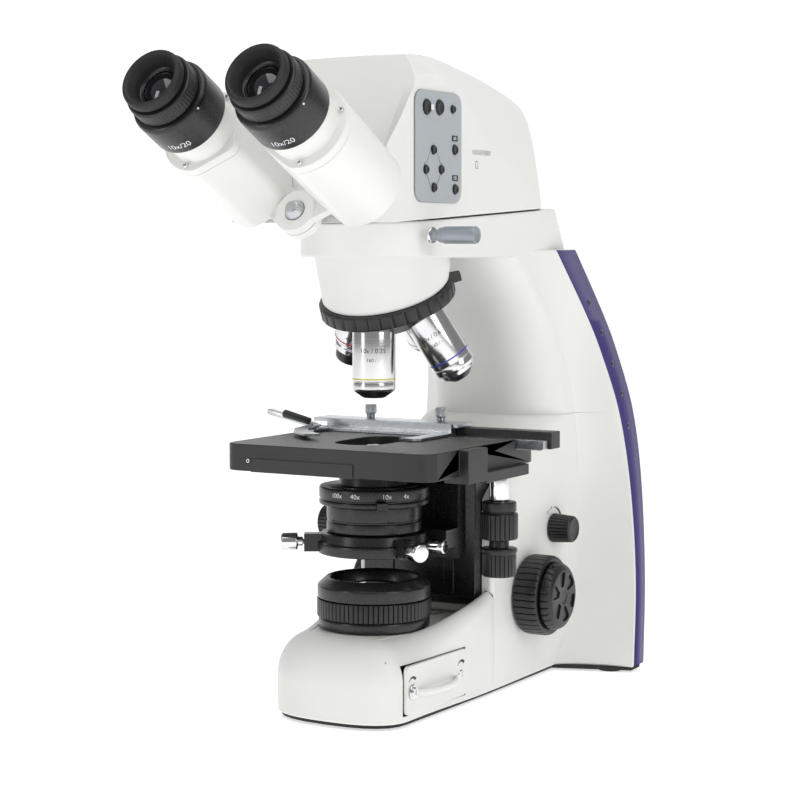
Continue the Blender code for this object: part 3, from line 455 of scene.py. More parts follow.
# ---------------------------------------------------------------- camera, light and floor
CAMERA_PLACE = (0.611, -1.025 + OPTICAL_Y, 0.280)
CAMERA_HEADING, CAMERA_DROP = math.radians(30.05), math.radians(4.44)
CAMERA_LENS_MM, CAMERA_SENSOR_MM = 89.9, 36
LIGHT_TARGET = Vector((0, 0, 0.2))
BACKDROP_SIDE = (-0.50, 0.866, 0.0)
BACKDROP_LEVEL, ROOM_LEVEL = 1.15, 0.27
FLOOR_GLOW = 0.62


def build_camera():
    camera = bpy.data.cameras.new("camera")
    camera.lens = CAMERA_LENS_MM
    camera.sensor_width = CAMERA_SENSOR_MM
    viewer = bpy.data.objects.new("camera", camera)
    viewer.location = CAMERA_PLACE
    viewer.rotation_euler = (math.pi / 2 - CAMERA_DROP, 0, CAMERA_HEADING)
    bpy.context.scene.collection.objects.link(viewer)
    bpy.context.scene.camera = viewer


def area_light(name, place, size, power):
    light = bpy.data.lights.new(name, "AREA")
    light.shape = "RECTANGLE"
    light.size, light.size_y = size
    light.energy = power
    lamp = bpy.data.objects.new(name, light)
    lamp.location = place
    lamp.rotation_euler = (LIGHT_TARGET - Vector(place)).to_track_quat("-Z", "Y").to_euler()
    bpy.context.scene.collection.objects.link(lamp)




def build_studio():
    """A white backdrop behind the microscope, a dimmer room round it, three soft lights and a pale floor."""
    world = bpy.data.worlds.new("studio")
    world.use_nodes = True
    nodes, links = world.node_tree.nodes, world.node_tree.links
    background = nodes["Background"]
    place = nodes.new("ShaderNodeTexCoord")
    along = nodes.new("ShaderNodeVectorMath")
    along.operation = "DOT_PRODUCT"
    along.inputs[1].default_value = BACKDROP_SIDE
    level = nodes.new("ShaderNodeMapRange")
    level.inputs["From Min"].default_value = 0.55
    level.inputs["From Max"].default_value = 0.85
    level.inputs["To Min"].default_value = ROOM_LEVEL
    level.inputs["To Max"].default_value = BACKDROP_LEVEL
    links.new(place.outputs["Generated"], along.inputs[0])
    links.new(along.outputs["Value"], level.inputs["Value"])
    links.new(level.outputs["Result"], background.inputs["Strength"])
    background.inputs["Color"].default_value = (1, 1, 1, 1)
    bpy.context.scene.world = world
    bpy.context.scene.view_settings.view_transform = "Standard"

    area_light("overhead", (0.2, -0.3, 1.7), (1.6, 1.6), 13)
    area_light("key", (1.5, -0.5, 0.9), (0.7, 1.2), 8)
    area_light("front", (-0.9, -1.6, 0.7), (0.4, 1.2), 5)
    floor_form = bmesh.new()
    bmesh.ops.create_grid(floor_form, x_segments=1, y_segments=1, size=6)
    floor = new_piece("floor", floor_form, Matrix.Identity(4))
    pale = surface("pale_floor", (0.90, 0.90, 0.90), 0.55, grain=40, depth=0.0, spread=0.01)
    glow = pale.node_tree.nodes["Principled BSDF"].inputs
    glow["Emission Color"].default_value = (1, 1, 1, 1)
    glow["Emission Strength"].default_value = FLOOR_GLOW
    floor.data.materials.append(pale)


# ---------------------------------------------------------------- white stand
CREASE_Y = [(0, 0.150), (0.024, 0.167), (0.060, 0.180), (0.120, 0.187), (0.184, 0.176), (0.231, 0.146),
            (0.277, 0.110)]
EDGE_X = [(0, 0.097), (0.060, 0.088), (0.120, 0.080), (0.170, 0.073), (0.211, 0.065), (0.235, 0.0595),
          (0.277, 0.052)]
EDGE_Y = [(0, 0.168), (0.060, 0.191), (0.120, 0.199), (0.170, 0.195), (0.211, 0.182), (0.235, 0.171),
          (0.277, 0.141)]
EDGE_DEPTH = [(0, 0.018), (0.072, 0.018), (0.171, 0.025), (0.277, 0.031)]
NOSE_Y = [(0.169, 0.140), (0.197, 0.132), (0.224, 0.115), (0.245, 0.095), (0.277, 0.056)]
NOSE_RADIUS = 0.034
LEAN_FROM_Z = 0.124
STRIP_INSET = 0.0028
HOUSING_FRONT_Y = 0.0623


def stand_half(z, trim=0.0):
    """Half outline of the stand at height z. trim pulls the housing in, but not the wing."""
    side = STAND_HALF - trim
    crease = smooth_value(CREASE_Y, z)
    if z < LEDGE_Z:
        lean = max((z - LEAN_FROM_Z) / (LEDGE_Z - LEAN_FROM_Z), 0.0)
        front = HOUSING_FRONT_Y + 0.065 * lean + trim
        round_x = round_y = 0.003 + (NOSE_RADIUS - 0.003) * lean
    else:
        front = smooth_value(NOSE_Y, max(z, NOSE_Y[0][0]))
        round_x, round_y = NOSE_RADIUS, min(NOSE_RADIUS, crease - front - 0.001)
    straight = side - round_x
    half = [(straight * k / 4, front) for k in range(4)]
    half += [(straight + round_x * math.sin(a), front + round_y * (1 - math.cos(a)))
             for a in (math.radians(9 * k) for k in range(11))]
    start = front + round_y
    half += [(side, start + (crease - start) * k / 4) for k in range(1, 5)]
    edge_x, edge_y = smooth_value(EDGE_X, z), smooth_value(EDGE_Y, z)
    back_y = edge_y + smooth_value(EDGE_DEPTH, z)
    control = (side + 0.26 * (edge_x - side), crease + 0.66 * (edge_y - crease))
    half += bend((side, crease), control, (edge_x - 0.0006, edge_y), 12)
    half += [(edge_x, edge_y + 0.0005), (edge_x, edge_y + 0.0010), (edge_x - STRIP_INSET, edge_y + 0.0010),
             (edge_x - STRIP_INSET, back_y - 0.0010), (edge_x, back_y - 0.0010)]
    half += bend((edge_x, back_y - 0.0010), (edge_x, back_y + 0.0022), (edge_x - 0.006, back_y + 0.0028), 4)
    half += [(x, back_y + 0.0028 + 0.0032 * (1 - (x / (edge_x - 0.006)) ** 2))
             for x in ((edge_x - 0.006) * (1 - k / 6) for k in range(1, 7))]
    return [(x, y, z) for x, y in half]


def stand_form():
    rings = [shrunk(both_sides(stand_half(STAND_BOTTOM_Z)), 0.0008)]
    rings += [both_sides(stand_half(z)) for z in steps_between(STAND_BOTTOM_Z + 0.0008, LEDGE_Z - 0.0012,
                                                               40)]
    rings.append(both_sides(stand_half(LEDGE_Z - 0.0004, 0.0004)))
    rings.append(both_sides(stand_half(LEDGE_Z - 0.00001, 0.0012)))
    rings += [both_sides(stand_half(z)) for z in steps_between(LEDGE_Z + 0.00001, SHOULDER_Z - 0.0010, 28)]
    rings.append(shrunk(both_sides(stand_half(SHOULDER_Z)), 0.0010))
    return skin(rings)


BASE_CREASE_Z = [(-0.060, 0.0255), (-0.040, 0.029), (-0.010, 0.037), (0.030, 0.050), (0.062, 0.060)]
BASE_TOP_Z = [(-0.060, 0.0508), (-0.012, 0.0509), (0.030, 0.0585), (0.062, 0.0662)]
BASE_SHOULDER = [(-0.060, 0.021), (-0.030, 0.0165), (0.0, 0.0085), (0.030, 0.0050), (0.062, 0.0035)]


def base_half():
    """Half outline of the base at its widest, from the nose back into the stand."""
    half_width, nose, start = 0.0437, 0.0282, -0.030
    power = 2 / 2.6
    half = [(half_width * math.sin(a) ** power, start - nose * math.cos(a) ** power)
            for a in (math.radians(90 * k / 24) for k in range(25))]
    for k in range(1, 15):
        t = k / 14
        half.append((half_width + (STAND_HALF + 0.00002 - half_width) * t * t * (3 - 2 * t),
                     start + (HOUSING_FRONT_Y + 0.002 - start) * t))
    return half + [(STAND_HALF - 0.0010, HOUSING_FRONT_Y + 0.0060), (0.0, HOUSING_FRONT_Y + 0.0060)]


def base_form():
    half = [(x, y, 0.0) for x, y in base_half()]
    outline = both_sides(half)

    def ring(inset, height):
        """The outline drawn in by inset(y), at height(y)."""
        result = []
        for (x, y, _), (x1, y1, _) in zip(outline, shrunk(outline, 1.0)):
            amount = inset(y) if y < HOUSING_FRONT_Y + 0.004 else 0.0
            result.append((x + (x1 - x) * amount, y + (y1 - y) * amount, height(y)))
        return result

    def shoulder(part):
        angle = math.radians(90 * part)
        return ring(lambda y: smooth_value(BASE_SHOULDER, y) * (1 - math.cos(angle)) ** 0.9 + 0.0005 * part,
                    lambda y: smooth_value(BASE_CREASE_Z, y)
                    + (smooth_value(BASE_TOP_Z, y) - smooth_value(BASE_CREASE_Z, y)) * math.sin(angle))

    rings = [ring(lambda y: 0.0010, lambda y: STAND_BOTTOM_Z),
             ring(lambda y: 0.0, lambda y: STAND_BOTTOM_Z + 0.001)]
    for part in (0.25, 0.5, 0.75, 0.96):
        rings.append(ring(lambda y: 0.0, lambda y, part=part: STAND_BOTTOM_Z + 0.001
                          + part * (smooth_value(BASE_CREASE_Z, y) - STAND_BOTTOM_Z - 0.001)))
    rings += [shoulder(k / 8) for k in range(9)]
    rings.append(ring(lambda y: smooth_value(BASE_SHOULDER, y) + 0.0013,
                      lambda y: smooth_value(BASE_TOP_Z, y) - 0.0006))
    rings.append(ring(lambda y: smooth_value(BASE_SHOULDER, y) + 0.0020, lambda y: 0.0506))
    return skin(rings)


ARM_FRONT_Y = -0.0418


def arm_half(front, back):
    """Half outline of the arm head: a round front, straight sides and a rounded back."""
    half = [(STAND_HALF * math.sin(a), front + 0.052 * (1 - math.cos(a)))
            for a in (math.radians(90 * k / 22) for k in range(23))]
    half += [(STAND_HALF, front + 0.052 + (back - 0.034 - front - 0.052) * k / 8) for k in range(1, 9)]
    half += bend(half[-1], (STAND_HALF, back - 0.004), (0.034, back - 0.001), 8)
    return half + [(0.020, back), (0.0, back)]


def arm_form():
    """The arm head over the stage; its top follows the seam with the camera head."""
    def ring(back, height, inset=0.0):
        flat = both_sides([(x, y, 0.0) for x, y in arm_half(ARM_FRONT_Y, back)])
        flat = shrunk(flat, inset) if inset else flat
        return [(x * 1.0006, y, height(y)) for x, y, _ in flat]

    low_back, high_back = 0.181, 0.166
    rings = [ring(0.150, lambda y: ARM_UNDERSIDE_Z, 0.0012), ring(0.150, lambda y: ARM_UNDERSIDE_Z + 0.0012),
             ring(0.150, lambda y: SHOULDER_Z - 0.0008)]
    rings.append(ring(low_back, lambda y: SHOULDER_Z - 0.0003))
    for part in (0.33, 0.66, 0.94):
        rings.append(ring(low_back + (high_back - low_back) * part,
                          lambda y, part=part: SHOULDER_Z + part * (seam_z(y) - 0.0012 - SHOULDER_Z)))
    rings.append(ring(high_back, lambda y: seam_z(y) - 0.0012, 0.0008))
    return skin(rings)


def build_stand():
    stand = new_piece("stand_shell", stand_form())
    combine(stand, "UNION", [new_piece("base", base_form()), new_piece("arm", arm_form())])
    cuts = [new_piece("slot", block((-0.0406, 0.0500, 0.0560), (0.0406, 0.0965, 0.2000))),
            new_piece("well", rod(0.0250, 0.030, 0.070, 64)),
            new_piece("window", block((0.0300, -0.0394, 0.0076), (0.0600, 0.0294, 0.0374))),
            new_piece("hollow", block((-0.0350, -0.0460, -0.0010), (0.0350, 0.0500, 0.0400))),
            new_piece("inlet", block((-0.0142, 0.1500, 0.0158), (0.0142, 0.2500, 0.0382)))]
    for k in range(4):
        vent = moved(-0.012 + 0.008 * k, 0.0485, 0) @ spun(-14)
        slot = rounded_rectangle((-0.0013, -0.0120), (0.0013, 0.0120), 0.00125, 4)
        cuts.append(new_piece("vent", extruded(slot, 0.042, 0.060), OPTICAL @ vent))
    combine(stand, "DIFFERENCE", cuts)
    dress(stand, "stand", "white_paint", ["stand_lower", "stand_upper", "base_front", "arm_head"], sharp=28)

    refined("base_plate", "rubber", 0.0003)


def build_strips():
    for side, label in ((1, "right"), (-1, "left")):
        rings = []
        levels = steps_between(STAND_BOTTOM_Z + 0.0006, SHOULDER_Z - 0.0004, 60)
        for z in levels:
            x, front = smooth_value(EDGE_X, z), smooth_value(EDGE_Y, z) + 0.0013
            back = front + smooth_value(EDGE_DEPTH, z) - 0.0026
            inner, outer, soft = x - STRIP_INSET + 0.0003, x + 0.0003, 0.0007
            corners = [(inner, front), (outer - soft, front), (outer, front + soft), (outer, back - soft),
                       (outer - soft, back), (inner, back)]
            rings.append([(side * cx, cy, z) for cx, cy in corners])
        dress(new_piece("edge_strip_skin_" + label, skin(rings)), "stand", "indigo",
              ["edge_strip_" + label], sharp=50)
    for k, z in enumerate((0.242, 0.222, 0.201, 0.181, 0.159)):
        x = smooth_value(EDGE_X, z)
        lean = math.atan2(smooth_value(EDGE_X, z + 0.005) - smooth_value(EDGE_X, z - 0.005), 0.01)
        y = smooth_value(EDGE_Y, z) + 0.45 * smooth_value(EDGE_DEPTH, z)
        seat = OPTICAL @ moved(x + 0.0003, y, z) @ Matrix.Rotation(math.pi / 2 + lean, 4, "Y")
        lamp = soften([(0, 0.0004), (0.0012, 0.0003), (0.0019, 0.0001), (0.0021, 0.0003), (0.0023, 0.0),
                       (0.0023, -0.0008), (0, -0.0008)], 0.0001)
        lathe("indicator_%d" % (k + 1), lamp, 32, seat, "stand", "lens")


def build_nosepiece_mount():
    """Tapered white mount from the arm's flat underside to the tilted turret."""
    drop = 0.0343
    foot = Vector((0, drop * math.sin(TURRET_TILT), 0.2848 - drop * math.cos(TURRET_TILT)))
    head = Vector((0, 0.0096, ARM_UNDERSIDE_Z + 0.0002))
    rings = []
    for k in range(17):
        t = k / 16
        ease = t * t * (3 - 2 * t)
        centre = foot.lerp(head, t) + Vector((0, 0.0006 * math.sin(math.pi * t), 0))
        radius = 0.0378 + 0.0012 * min(1, t * 12) ** 0.5 + 0.0014 * ease
        turn = Matrix.Rotation(TURRET_TILT * (1 - ease), 3, "X")
        rings.append([tuple(turn @ Vector((radius * math.cos(a), radius * math.sin(a), 0)) + centre)
                      for a in (math.tau * j / 128 for j in range(128))])
    dress(new_piece("nosepiece_cone", skin(rings)), "stand", "white_paint", ["nosepiece_mount"], sharp=50)


# ---------------------------------------------------------------- field lens unit and lamp drawer
def build_field_unit():
    low = moved(0, 0, FIELD_BOTTOM_Z)
    profile = soften([(0.0235, 0.0215), (0.0262, 0.0290), (0.0276, 0.0302), (0.0292, 0.0298),
                      (0.0338, 0.0256), (0.0342, 0.0248), (0.0342, 0.0181), (0.0300, 0.0181),
                      (0.0300, 0.0060), (0.0332, 0.0060), (0.0336, 0.0050), (0.0336, 0.0006),
                      (0.0330, 0.0), (0.0235, 0.0)], 0.0005)
    lathe("field_collar", profile, 128, OPTICAL @ low, "stand", "black_metal", ["field_mount"])
    band = soften([(0.0338, 0.0176), (0.0345, 0.0171), (0.0345, 0.0068), (0.0338, 0.0063),
                   (0.0303, 0.0063), (0.0303, 0.0176)], 0.0003)
    form = turned([(0.0303, 0.0176)] + band[1:-1] + [(0.0303, 0.0063)], 576,
                  ribbed(72, 0.0009, 0.0069, 0.0170, 0.0335, 8))
    dress(new_piece("field_ring_skin", form, OPTICAL @ low), "field_ring", "black_plastic", ["field_ring"])
    lens = [(0, 0.0262), (0.0060, 0.0260), (0.0120, 0.0254), (0.0180, 0.0243), (0.0234, 0.0226),
            (0.0234, 0.0180), (0, 0.0180)]
    lathe("field_lens_skin", lens, 96, OPTICAL @ low, "stand", "lens", ["field_lens"])


def hex_screw(name, place, body, radius, look="chrome", replaces=()):
    """A low round screw head with a hexagon socket, facing up the place's local Z."""
    profile = soften([(0, 0.0006), (radius * 0.45, 0.0006), (radius * 0.50, 0.0018),
                      (radius * 0.86, 0.0018), (radius, 0.0012), (radius, -0.0004), (0, -0.0004)], 0.0002)

    def socket(angle, reach, height):
        if reach > radius * 0.6:
            return reach
        corner = (angle % (math.pi / 3)) - math.pi / 6
        return reach / math.cos(corner) if reach > radius * 0.2 else reach
    return lathe(name, profile, 48, place, body, look, replaces, ribs=socket)


def curved_arrow(radius, start, end, width):
    """A tapering curved arrow, flat in local XY, as one outline."""
    outer, inner = [], []
    for k in range(13):
        t = k / 12
        a = math.radians(start + (end - start) * t)
        half = width * (0.15 + 0.85 * t) / 2
        outer.append(((radius + half) * math.cos(a), (radius + half) * math.sin(a)))
        inner.append(((radius - half) * math.cos(a), (radius - half) * math.sin(a)))
    return extruded(outer + inner[::-1], -0.00004, 0.00004)


DRAWER_FACE = Vector((0.0462, -0.0050, 0.0225))
DRAWER_SLOPE = math.atan2(0.0022, 0.068)


def build_lamp_drawer():
    """The lamp drawer in the base's side: cover, tray, lamp tower, bail and two captive screws."""
    face = OPTICAL @ Matrix.Translation(DRAWER_FACE) @ Matrix.Rotation(-DRAWER_SLOPE, 4, "Z") \
        @ Matrix(((0, 0, 1, 0), (1, 0, 0, 0), (0, 1, 0, 0), (0, 0, 0, 1)))
    cover = extruded(rounded_rectangle((-0.0338, -0.0143), (0.0338, 0.0143), 0.0030), -0.0024, 0.0002)
    dress(new_piece("drawer_cover", cover, face), "lamp_drawer", "white_paint", ["lamp_drawer"],
          bevel=0.0003)
    tray = merged([block((-0.0200, -0.0240, 0.0085), (0.0430, 0.0240, 0.0120)),
                   block((-0.0100, -0.0200, 0.0120), (0.0100, 0.0200, 0.0135))])
    dress(new_piece("drawer_tray", tray), "lamp_drawer", "grey_metal", bevel=0.0003)
    tower = soften([(0, 0.0340), (0.0050, 0.0340), (0.0056, 0.0330), (0.0110, 0.0325), (0.0120, 0.0315),
                    (0.0120, 0.0110), (0, 0.0110)], 0.0004)
    lathe("led_tower", tower, 64, OPTICAL, "lamp_drawer", "grey_metal")
    form = bmesh.new()
    rows = []
    for k in range(33):
        t = -1 + 2 * k / 32
        height = 0.0068 * (1 - abs(t) ** 2.6)
        row = [form.verts.new((0.0235 * t, -0.0025 + 0.0021 * math.cos(a),
                               height + 0.0013 * math.sin(a) - 0.0008))
               for a in (math.tau * j / 16 for j in range(16))]
        rows.append(row)
    for first, second in zip(rows, rows[1:]):
        for j in range(16):
            form.faces.new((first[j], first[(j + 1) % 16], second[(j + 1) % 16], second[j]))
    form.faces.new(rows[0])
    form.faces.new(rows[-1])
    dress(new_piece("drawer_bail", form, face), "lamp_drawer", "white_paint", sharp=60)
    for label, along in (("front", -0.0280), ("rear", 0.0280)):
        seat = OPTICAL @ Matrix.Translation(DRAWER_FACE + Vector((0, along, -0.0010))) @ SIDEWAYS
        hex_screw("drawer_screw_skin_" + label, seat, "drawer_screw_" + label, 0.0030,
                  replaces=["drawer_screw_" + label])
        washer = soften([(0.0040, 0.0005), (0.0044, 0.0), (0.0030, 0.0), (0.0030, 0.0005)], 0.0001)
        lathe("drawer_washer_" + label, washer, 48, seat, "lamp_drawer", "chrome")
        arrow = face @ moved(along, 0.0030, 0.00025)
        dress(new_piece("drawer_arrow_" + label, curved_arrow(0.0045, 150, 40, 0.0020), arrow),
              "lamp_drawer", "black_print")


# ---------------------------------------------------------------- side controls
def build_side_controls():
    ribs = ribbed(26, 0.0008, 0.0010, 0.0142, 0.0070, 5)
    profile = soften([(0, 0.0150), (0.0060, 0.0150), (0.0066, 0.0155), (0.0076, 0.0155), (0.0086, 0.0143),
                      (0.0089, 0.0100), (0.0093, 0.0050), (0.0096, 0.0010), (0.0090, 0.0004),
                      (0.0030, 0.0004), (0.0030, -0.0020), (0, -0.0020)], 0.0003)
    seat = at_joint("brightness_turn") @ SIDEWAYS
    lathe("brightness_knob_skin", profile, 208, seat, "brightness_knob", "black_plastic",
          ["brightness_knob"], ribs=ribs)
    marks = seat @ moved(0, 0, 0.00006) @ spun(90)
    dress(new_piece("brightness_arrow", curved_arrow(0.0135, 85, 25, 0.0024), marks), "stand",
          "black_print")
    ring = [(0.0009, 0.00004), (0.0009, -0.00004), (0.0006, -0.00004), (0.0006, 0.00004)]
    for k, angle in enumerate((100, 126)):
        spot = marks @ spun(angle) @ moved(0.0135, 0, 0)
        lathe("brightness_mark_%d" % k, ring, 24, spot, "stand", "black_print")
    bar = marks @ spun(113) @ moved(0.0135, 0, 0)
    dress(new_piece("brightness_bar", block((-0.0009, -0.00015, -0.00004), (0.0009, 0.00015, 0.00004)),
                    bar), "stand", "black_print")

    profile = soften([(0, 0.0296), (0.0040, 0.0296), (0.0042, 0.0300), (0.0046, 0.0300), (0.0050, 0.0292),
                      (0.0050, 0.0090), (0.0044, 0.0082), (0.0044, 0.0060), (0.0034, 0.0056),
                      (0.0032, 0.0040), (0.0032, 0.0), (0, 0.0)], 0.0004)
    seat = at_joint("head_clamp_turn") @ SIDEWAYS
    lathe("head_clamp_skin", profile, 64, seat, "head_clamp", "grey_knob", ["head_clamp"])
    nut = soften([(0.0045, 0.0016), (0.0048, 0.0012), (0.0048, 0.0), (0.0033, 0.0), (0.0033, 0.0016)],
                 0.0002)
    lathe("head_clamp_collar", nut, 48, seat, "stand", "chrome")


def build_focus_knobs():
    axis = at_joint("coarse_turn") @ SIDEWAYS
    for side, label in ((1, "right"), (-1, "left")):
        turn = axis if side > 0 else axis @ Matrix.Rotation(math.pi, 4, "X")
        profile = soften([(0.0196, 0.0632), (0.0206, 0.0652), (0.0238, 0.0656), (0.0250, 0.0646),
                          (0.0255, 0.0630), (0.0255, 0.0515), (0.0250, 0.0496), (0.0238, 0.0490),
                          (0.0100, 0.0490), (0.0100, 0.0632)], 0.0006)
        form = turned(profile, 360, ribbed(36, 0.0009, 0.0500, 0.0648, 0.0236, 10))
        dress(new_piece("coarse_knob_" + label, form, turn), "coarse_focus", "black_plastic",
              ["coarse_focus"] if side > 0 else ())
        profile = soften([(0, 0.0728), (0.0040, 0.0728), (0.0046, 0.0732), (0.0160, 0.0735),
                          (0.0176, 0.0733), (0.0200, 0.0718), (0.0212, 0.0695), (0.0214, 0.0680),
                          (0.0214, 0.0664), (0.0195, 0.0660), (0.0190, 0.0640), (0, 0.0640)], 0.0006)
        form = turned(profile, 336, ribbed(28, 0.0008, 0.0662, 0.0716, 0.0202, 8))
        knob = new_piece("fine_knob_" + label, form, turn)
        petals = []
        for k in range(6):
            spin = turn @ spun(60 * k + 12)
            petal = [(r * math.cos(a), r * math.sin(a)) for r, a in
                     [(0.0066, math.radians(d)) for d in (-14, 0, 14)]
                     + [(0.0100, math.radians(17)), (0.0145, math.radians(19))]
                     + [(0.0160, math.radians(d)) for d in (14, 0, -14)]
                     + [(0.0145, math.radians(-19)), (0.0100, math.radians(-17))]]
            petals.append(new_piece("petal", extruded(petal, 0.0722, 0.0760), spin))
        hole = turn @ spun(200) @ moved(0.0206, 0, 0.0690) \
            @ Matrix.Rotation(math.pi / 2, 4, "Y")
        petals.append(new_piece("hole", rod(0.0011, -0.003, 0.003, 24), hole))
        combine(knob, "DIFFERENCE", petals)
        dress(knob, "fine_focus", "black_plastic", ["fine_focus"] if side > 0 else (), bevel=0.0002)


# ---------------------------------------------------------------- focus carrier, condenser and stage
def build_carrier():
    refined("focus_carrier", "black_metal", 0.0008)
    low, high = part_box("focus_carrier")
    for side in (1, -1):
        rail = block((side * 0.0215 - 0.0035, low.y + 0.0272 - 0.0012, 0.0640),
                     (side * 0.0215 + 0.0035, low.y + 0.0272 + 0.0010, 0.1340))
        dress(new_piece("carrier_rail_%s" % ("right" if side > 0 else "left"), rail, Matrix.Identity(4)),
              "focus", "black_metal", bevel=0.0004)


SCREW_ANGLES = (-30, -150)
SCREW_Z = 0.102


def build_condenser():
    fork = soften([(0.0285, 0.0122), (0.0300, 0.0126), (0.0315, 0.0122), (0.0318, 0.0070),
                   (0.0337, 0.0066), (0.0340, 0.0056), (0.0340, 0.0010), (0.0334, 0.0), (0.0262, 0.0),
                   (0.0262, 0.0122)], 0.0003)
    seat = OPTICAL @ moved(0, 0, CONDENSER_Z - 0.0008)
    piece = new_piece("condenser_fork_skin", turned(fork, 128), seat)
    arms = [new_piece("rear", block((-0.0330, 0.0300, 0.0), (0.0330, 0.0547, 0.0110)), seat),
            new_piece("slide", block((-0.0330, 0.0450, -0.008), (0.0330, 0.0546, 0.0375)), seat)]
    for angle in SCREW_ANGLES:
        turn = seat @ spun(angle)
        arms.append(new_piece("boss", block((0.0300, -0.0042, 0.0004), (0.0420, 0.0042, 0.0112)), turn))
    combine(piece, "UNION", arms)
    bore = new_piece("bore", rod(0.0263, -0.03, 0.03, 96), seat)
    combine(piece, "DIFFERENCE", [bore])
    dress(piece, "condenser", "black_metal", ["condenser_fork"], bevel=0.0004)

    low = OPTICAL @ moved(0, 0, CONDENSER_Z)
    body = soften([(0, 0.0620), (0.0078, 0.0620), (0.0090, 0.0618), (0.0122, 0.0575), (0.0125, 0.0566),
                   (0.0125, 0.0500), (0.0205, 0.0485), (0.0210, 0.0480), (0.0210, 0.0404),
                   (0.0270, 0.0402), (0.0270, 0.0284), (0.0283, 0.0282), (0.0285, 0.0276),
                   (0.0285, 0.0200), (0.0278, 0.0196), (0.0278, 0.0186), (0.0285, 0.0182),
                   (0.0285, 0.0128), (0.0280, 0.0122), (0.0240, 0.0122), (0.0236, 0.0), (0.0150, 0.0),
                   (0.0110, 0.0300), (0, 0.0300)], 0.0003)
    lathe("condenser_body_skin", body, 128, low, "condenser", "black_metal", ["condenser_body"])
    lens = [(0, 0.0017), (0.0030, 0.0015), (0.0060, 0.0009), (0.0078, 0.0003), (0.0078, 0), (0, 0)]
    lathe("condenser_lens_skin", lens, 48, OPTICAL @ moved(0, 0, 0.1591), "condenser", "pale_lens",
          ["condenser_lens"])

    ring = soften([(0.0322, 0.0112), (0.0330, 0.0104), (0.0330, 0.0046), (0.0322, 0.0042),
                   (0.0322, 0.0034), (0.0330, 0.0030), (0.0330, 0.0008), (0.0324, 0.0003),
                   (0.0273, 0.0003), (0.0273, 0.0112)], 0.0003)
    seat = at_joint("aperture_turn")
    piece = new_piece("aperture_ring_skin", turned(ring, 128), seat)
    tab = block((-0.0032, -0.0400, 0.0008), (0.0032, -0.0310, 0.0044))
    combine(piece, "UNION", [new_piece("tab", tab, seat @ spun(38))])
    dress(piece, "aperture_ring", "black_metal", ["aperture_ring"], bevel=0.0002)
    for text, angle in (("100x", -101), ("40x", -79), ("10x", -46), ("4x", -24)):
        form = wrapped(lettering(text, 0.0040), 0.0331, 0.0074, math.radians(angle))
        dress(new_piece("aperture_mark_" + text, form, seat), "aperture_ring", "white_print")

    for label, angle in zip(("right", "left"), SCREW_ANGLES):
        name = "centring_screw_" + label
        place = OPTICAL @ moved(0, 0, SCREW_Z) @ spun(angle) @ SIDEWAYS
        profile = soften([(0, 0.0560), (0.0047, 0.0560), (0.0055, 0.0552), (0.0055, 0.0466),
                          (0.0049, 0.0460), (0.0030, 0.0458), (0.0030, 0.0430), (0.0016, 0.0428),
                          (0.0016, 0.0300), (0, 0.0300)], 0.0003)
        lathe(name + "_skin", profile, 240, place, name, "chrome", [name],
              ribs=ribbed(40, 0.0003, 0.0470, 0.0548, 0.0050, 1))
    place = OPTICAL @ moved(0, 0, SCREW_Z) @ spun(2) @ SIDEWAYS
    profile = soften([(0, 0.0480), (0.0036, 0.0480), (0.0042, 0.0474), (0.0042, 0.0382), (0.0036, 0.0378),
                      (0.0016, 0.0376), (0.0016, 0.0300), (0, 0.0300)], 0.0003)
    lathe("condenser_clamp_skin", profile, 192, place, "condenser_clamp", "chrome", ["condenser_clamp"],
          ribs=ribbed(32, 0.0002, 0.0386, 0.0470, 0.0040, 1))

    place = at_joint("condenser_knob_turn") @ Matrix.Rotation(-math.pi / 2, 4, "Y")
    profile = soften([(0, 0.0256), (0.0085, 0.0256), (0.0092, 0.0260), (0.0102, 0.0260), (0.0110, 0.0250),
                      (0.0110, 0.0136), (0.0102, 0.0128), (0.0040, 0.0125), (0.0040, 0.0), (0, 0.0)],
                     0.0004)
    lathe("condenser_knob_skin", profile, 224, place, "condenser_knob", "black_plastic",
          ["condenser_knob"], ribs=ribbed(28, 0.0006, 0.0140, 0.0248, 0.0104, 6))


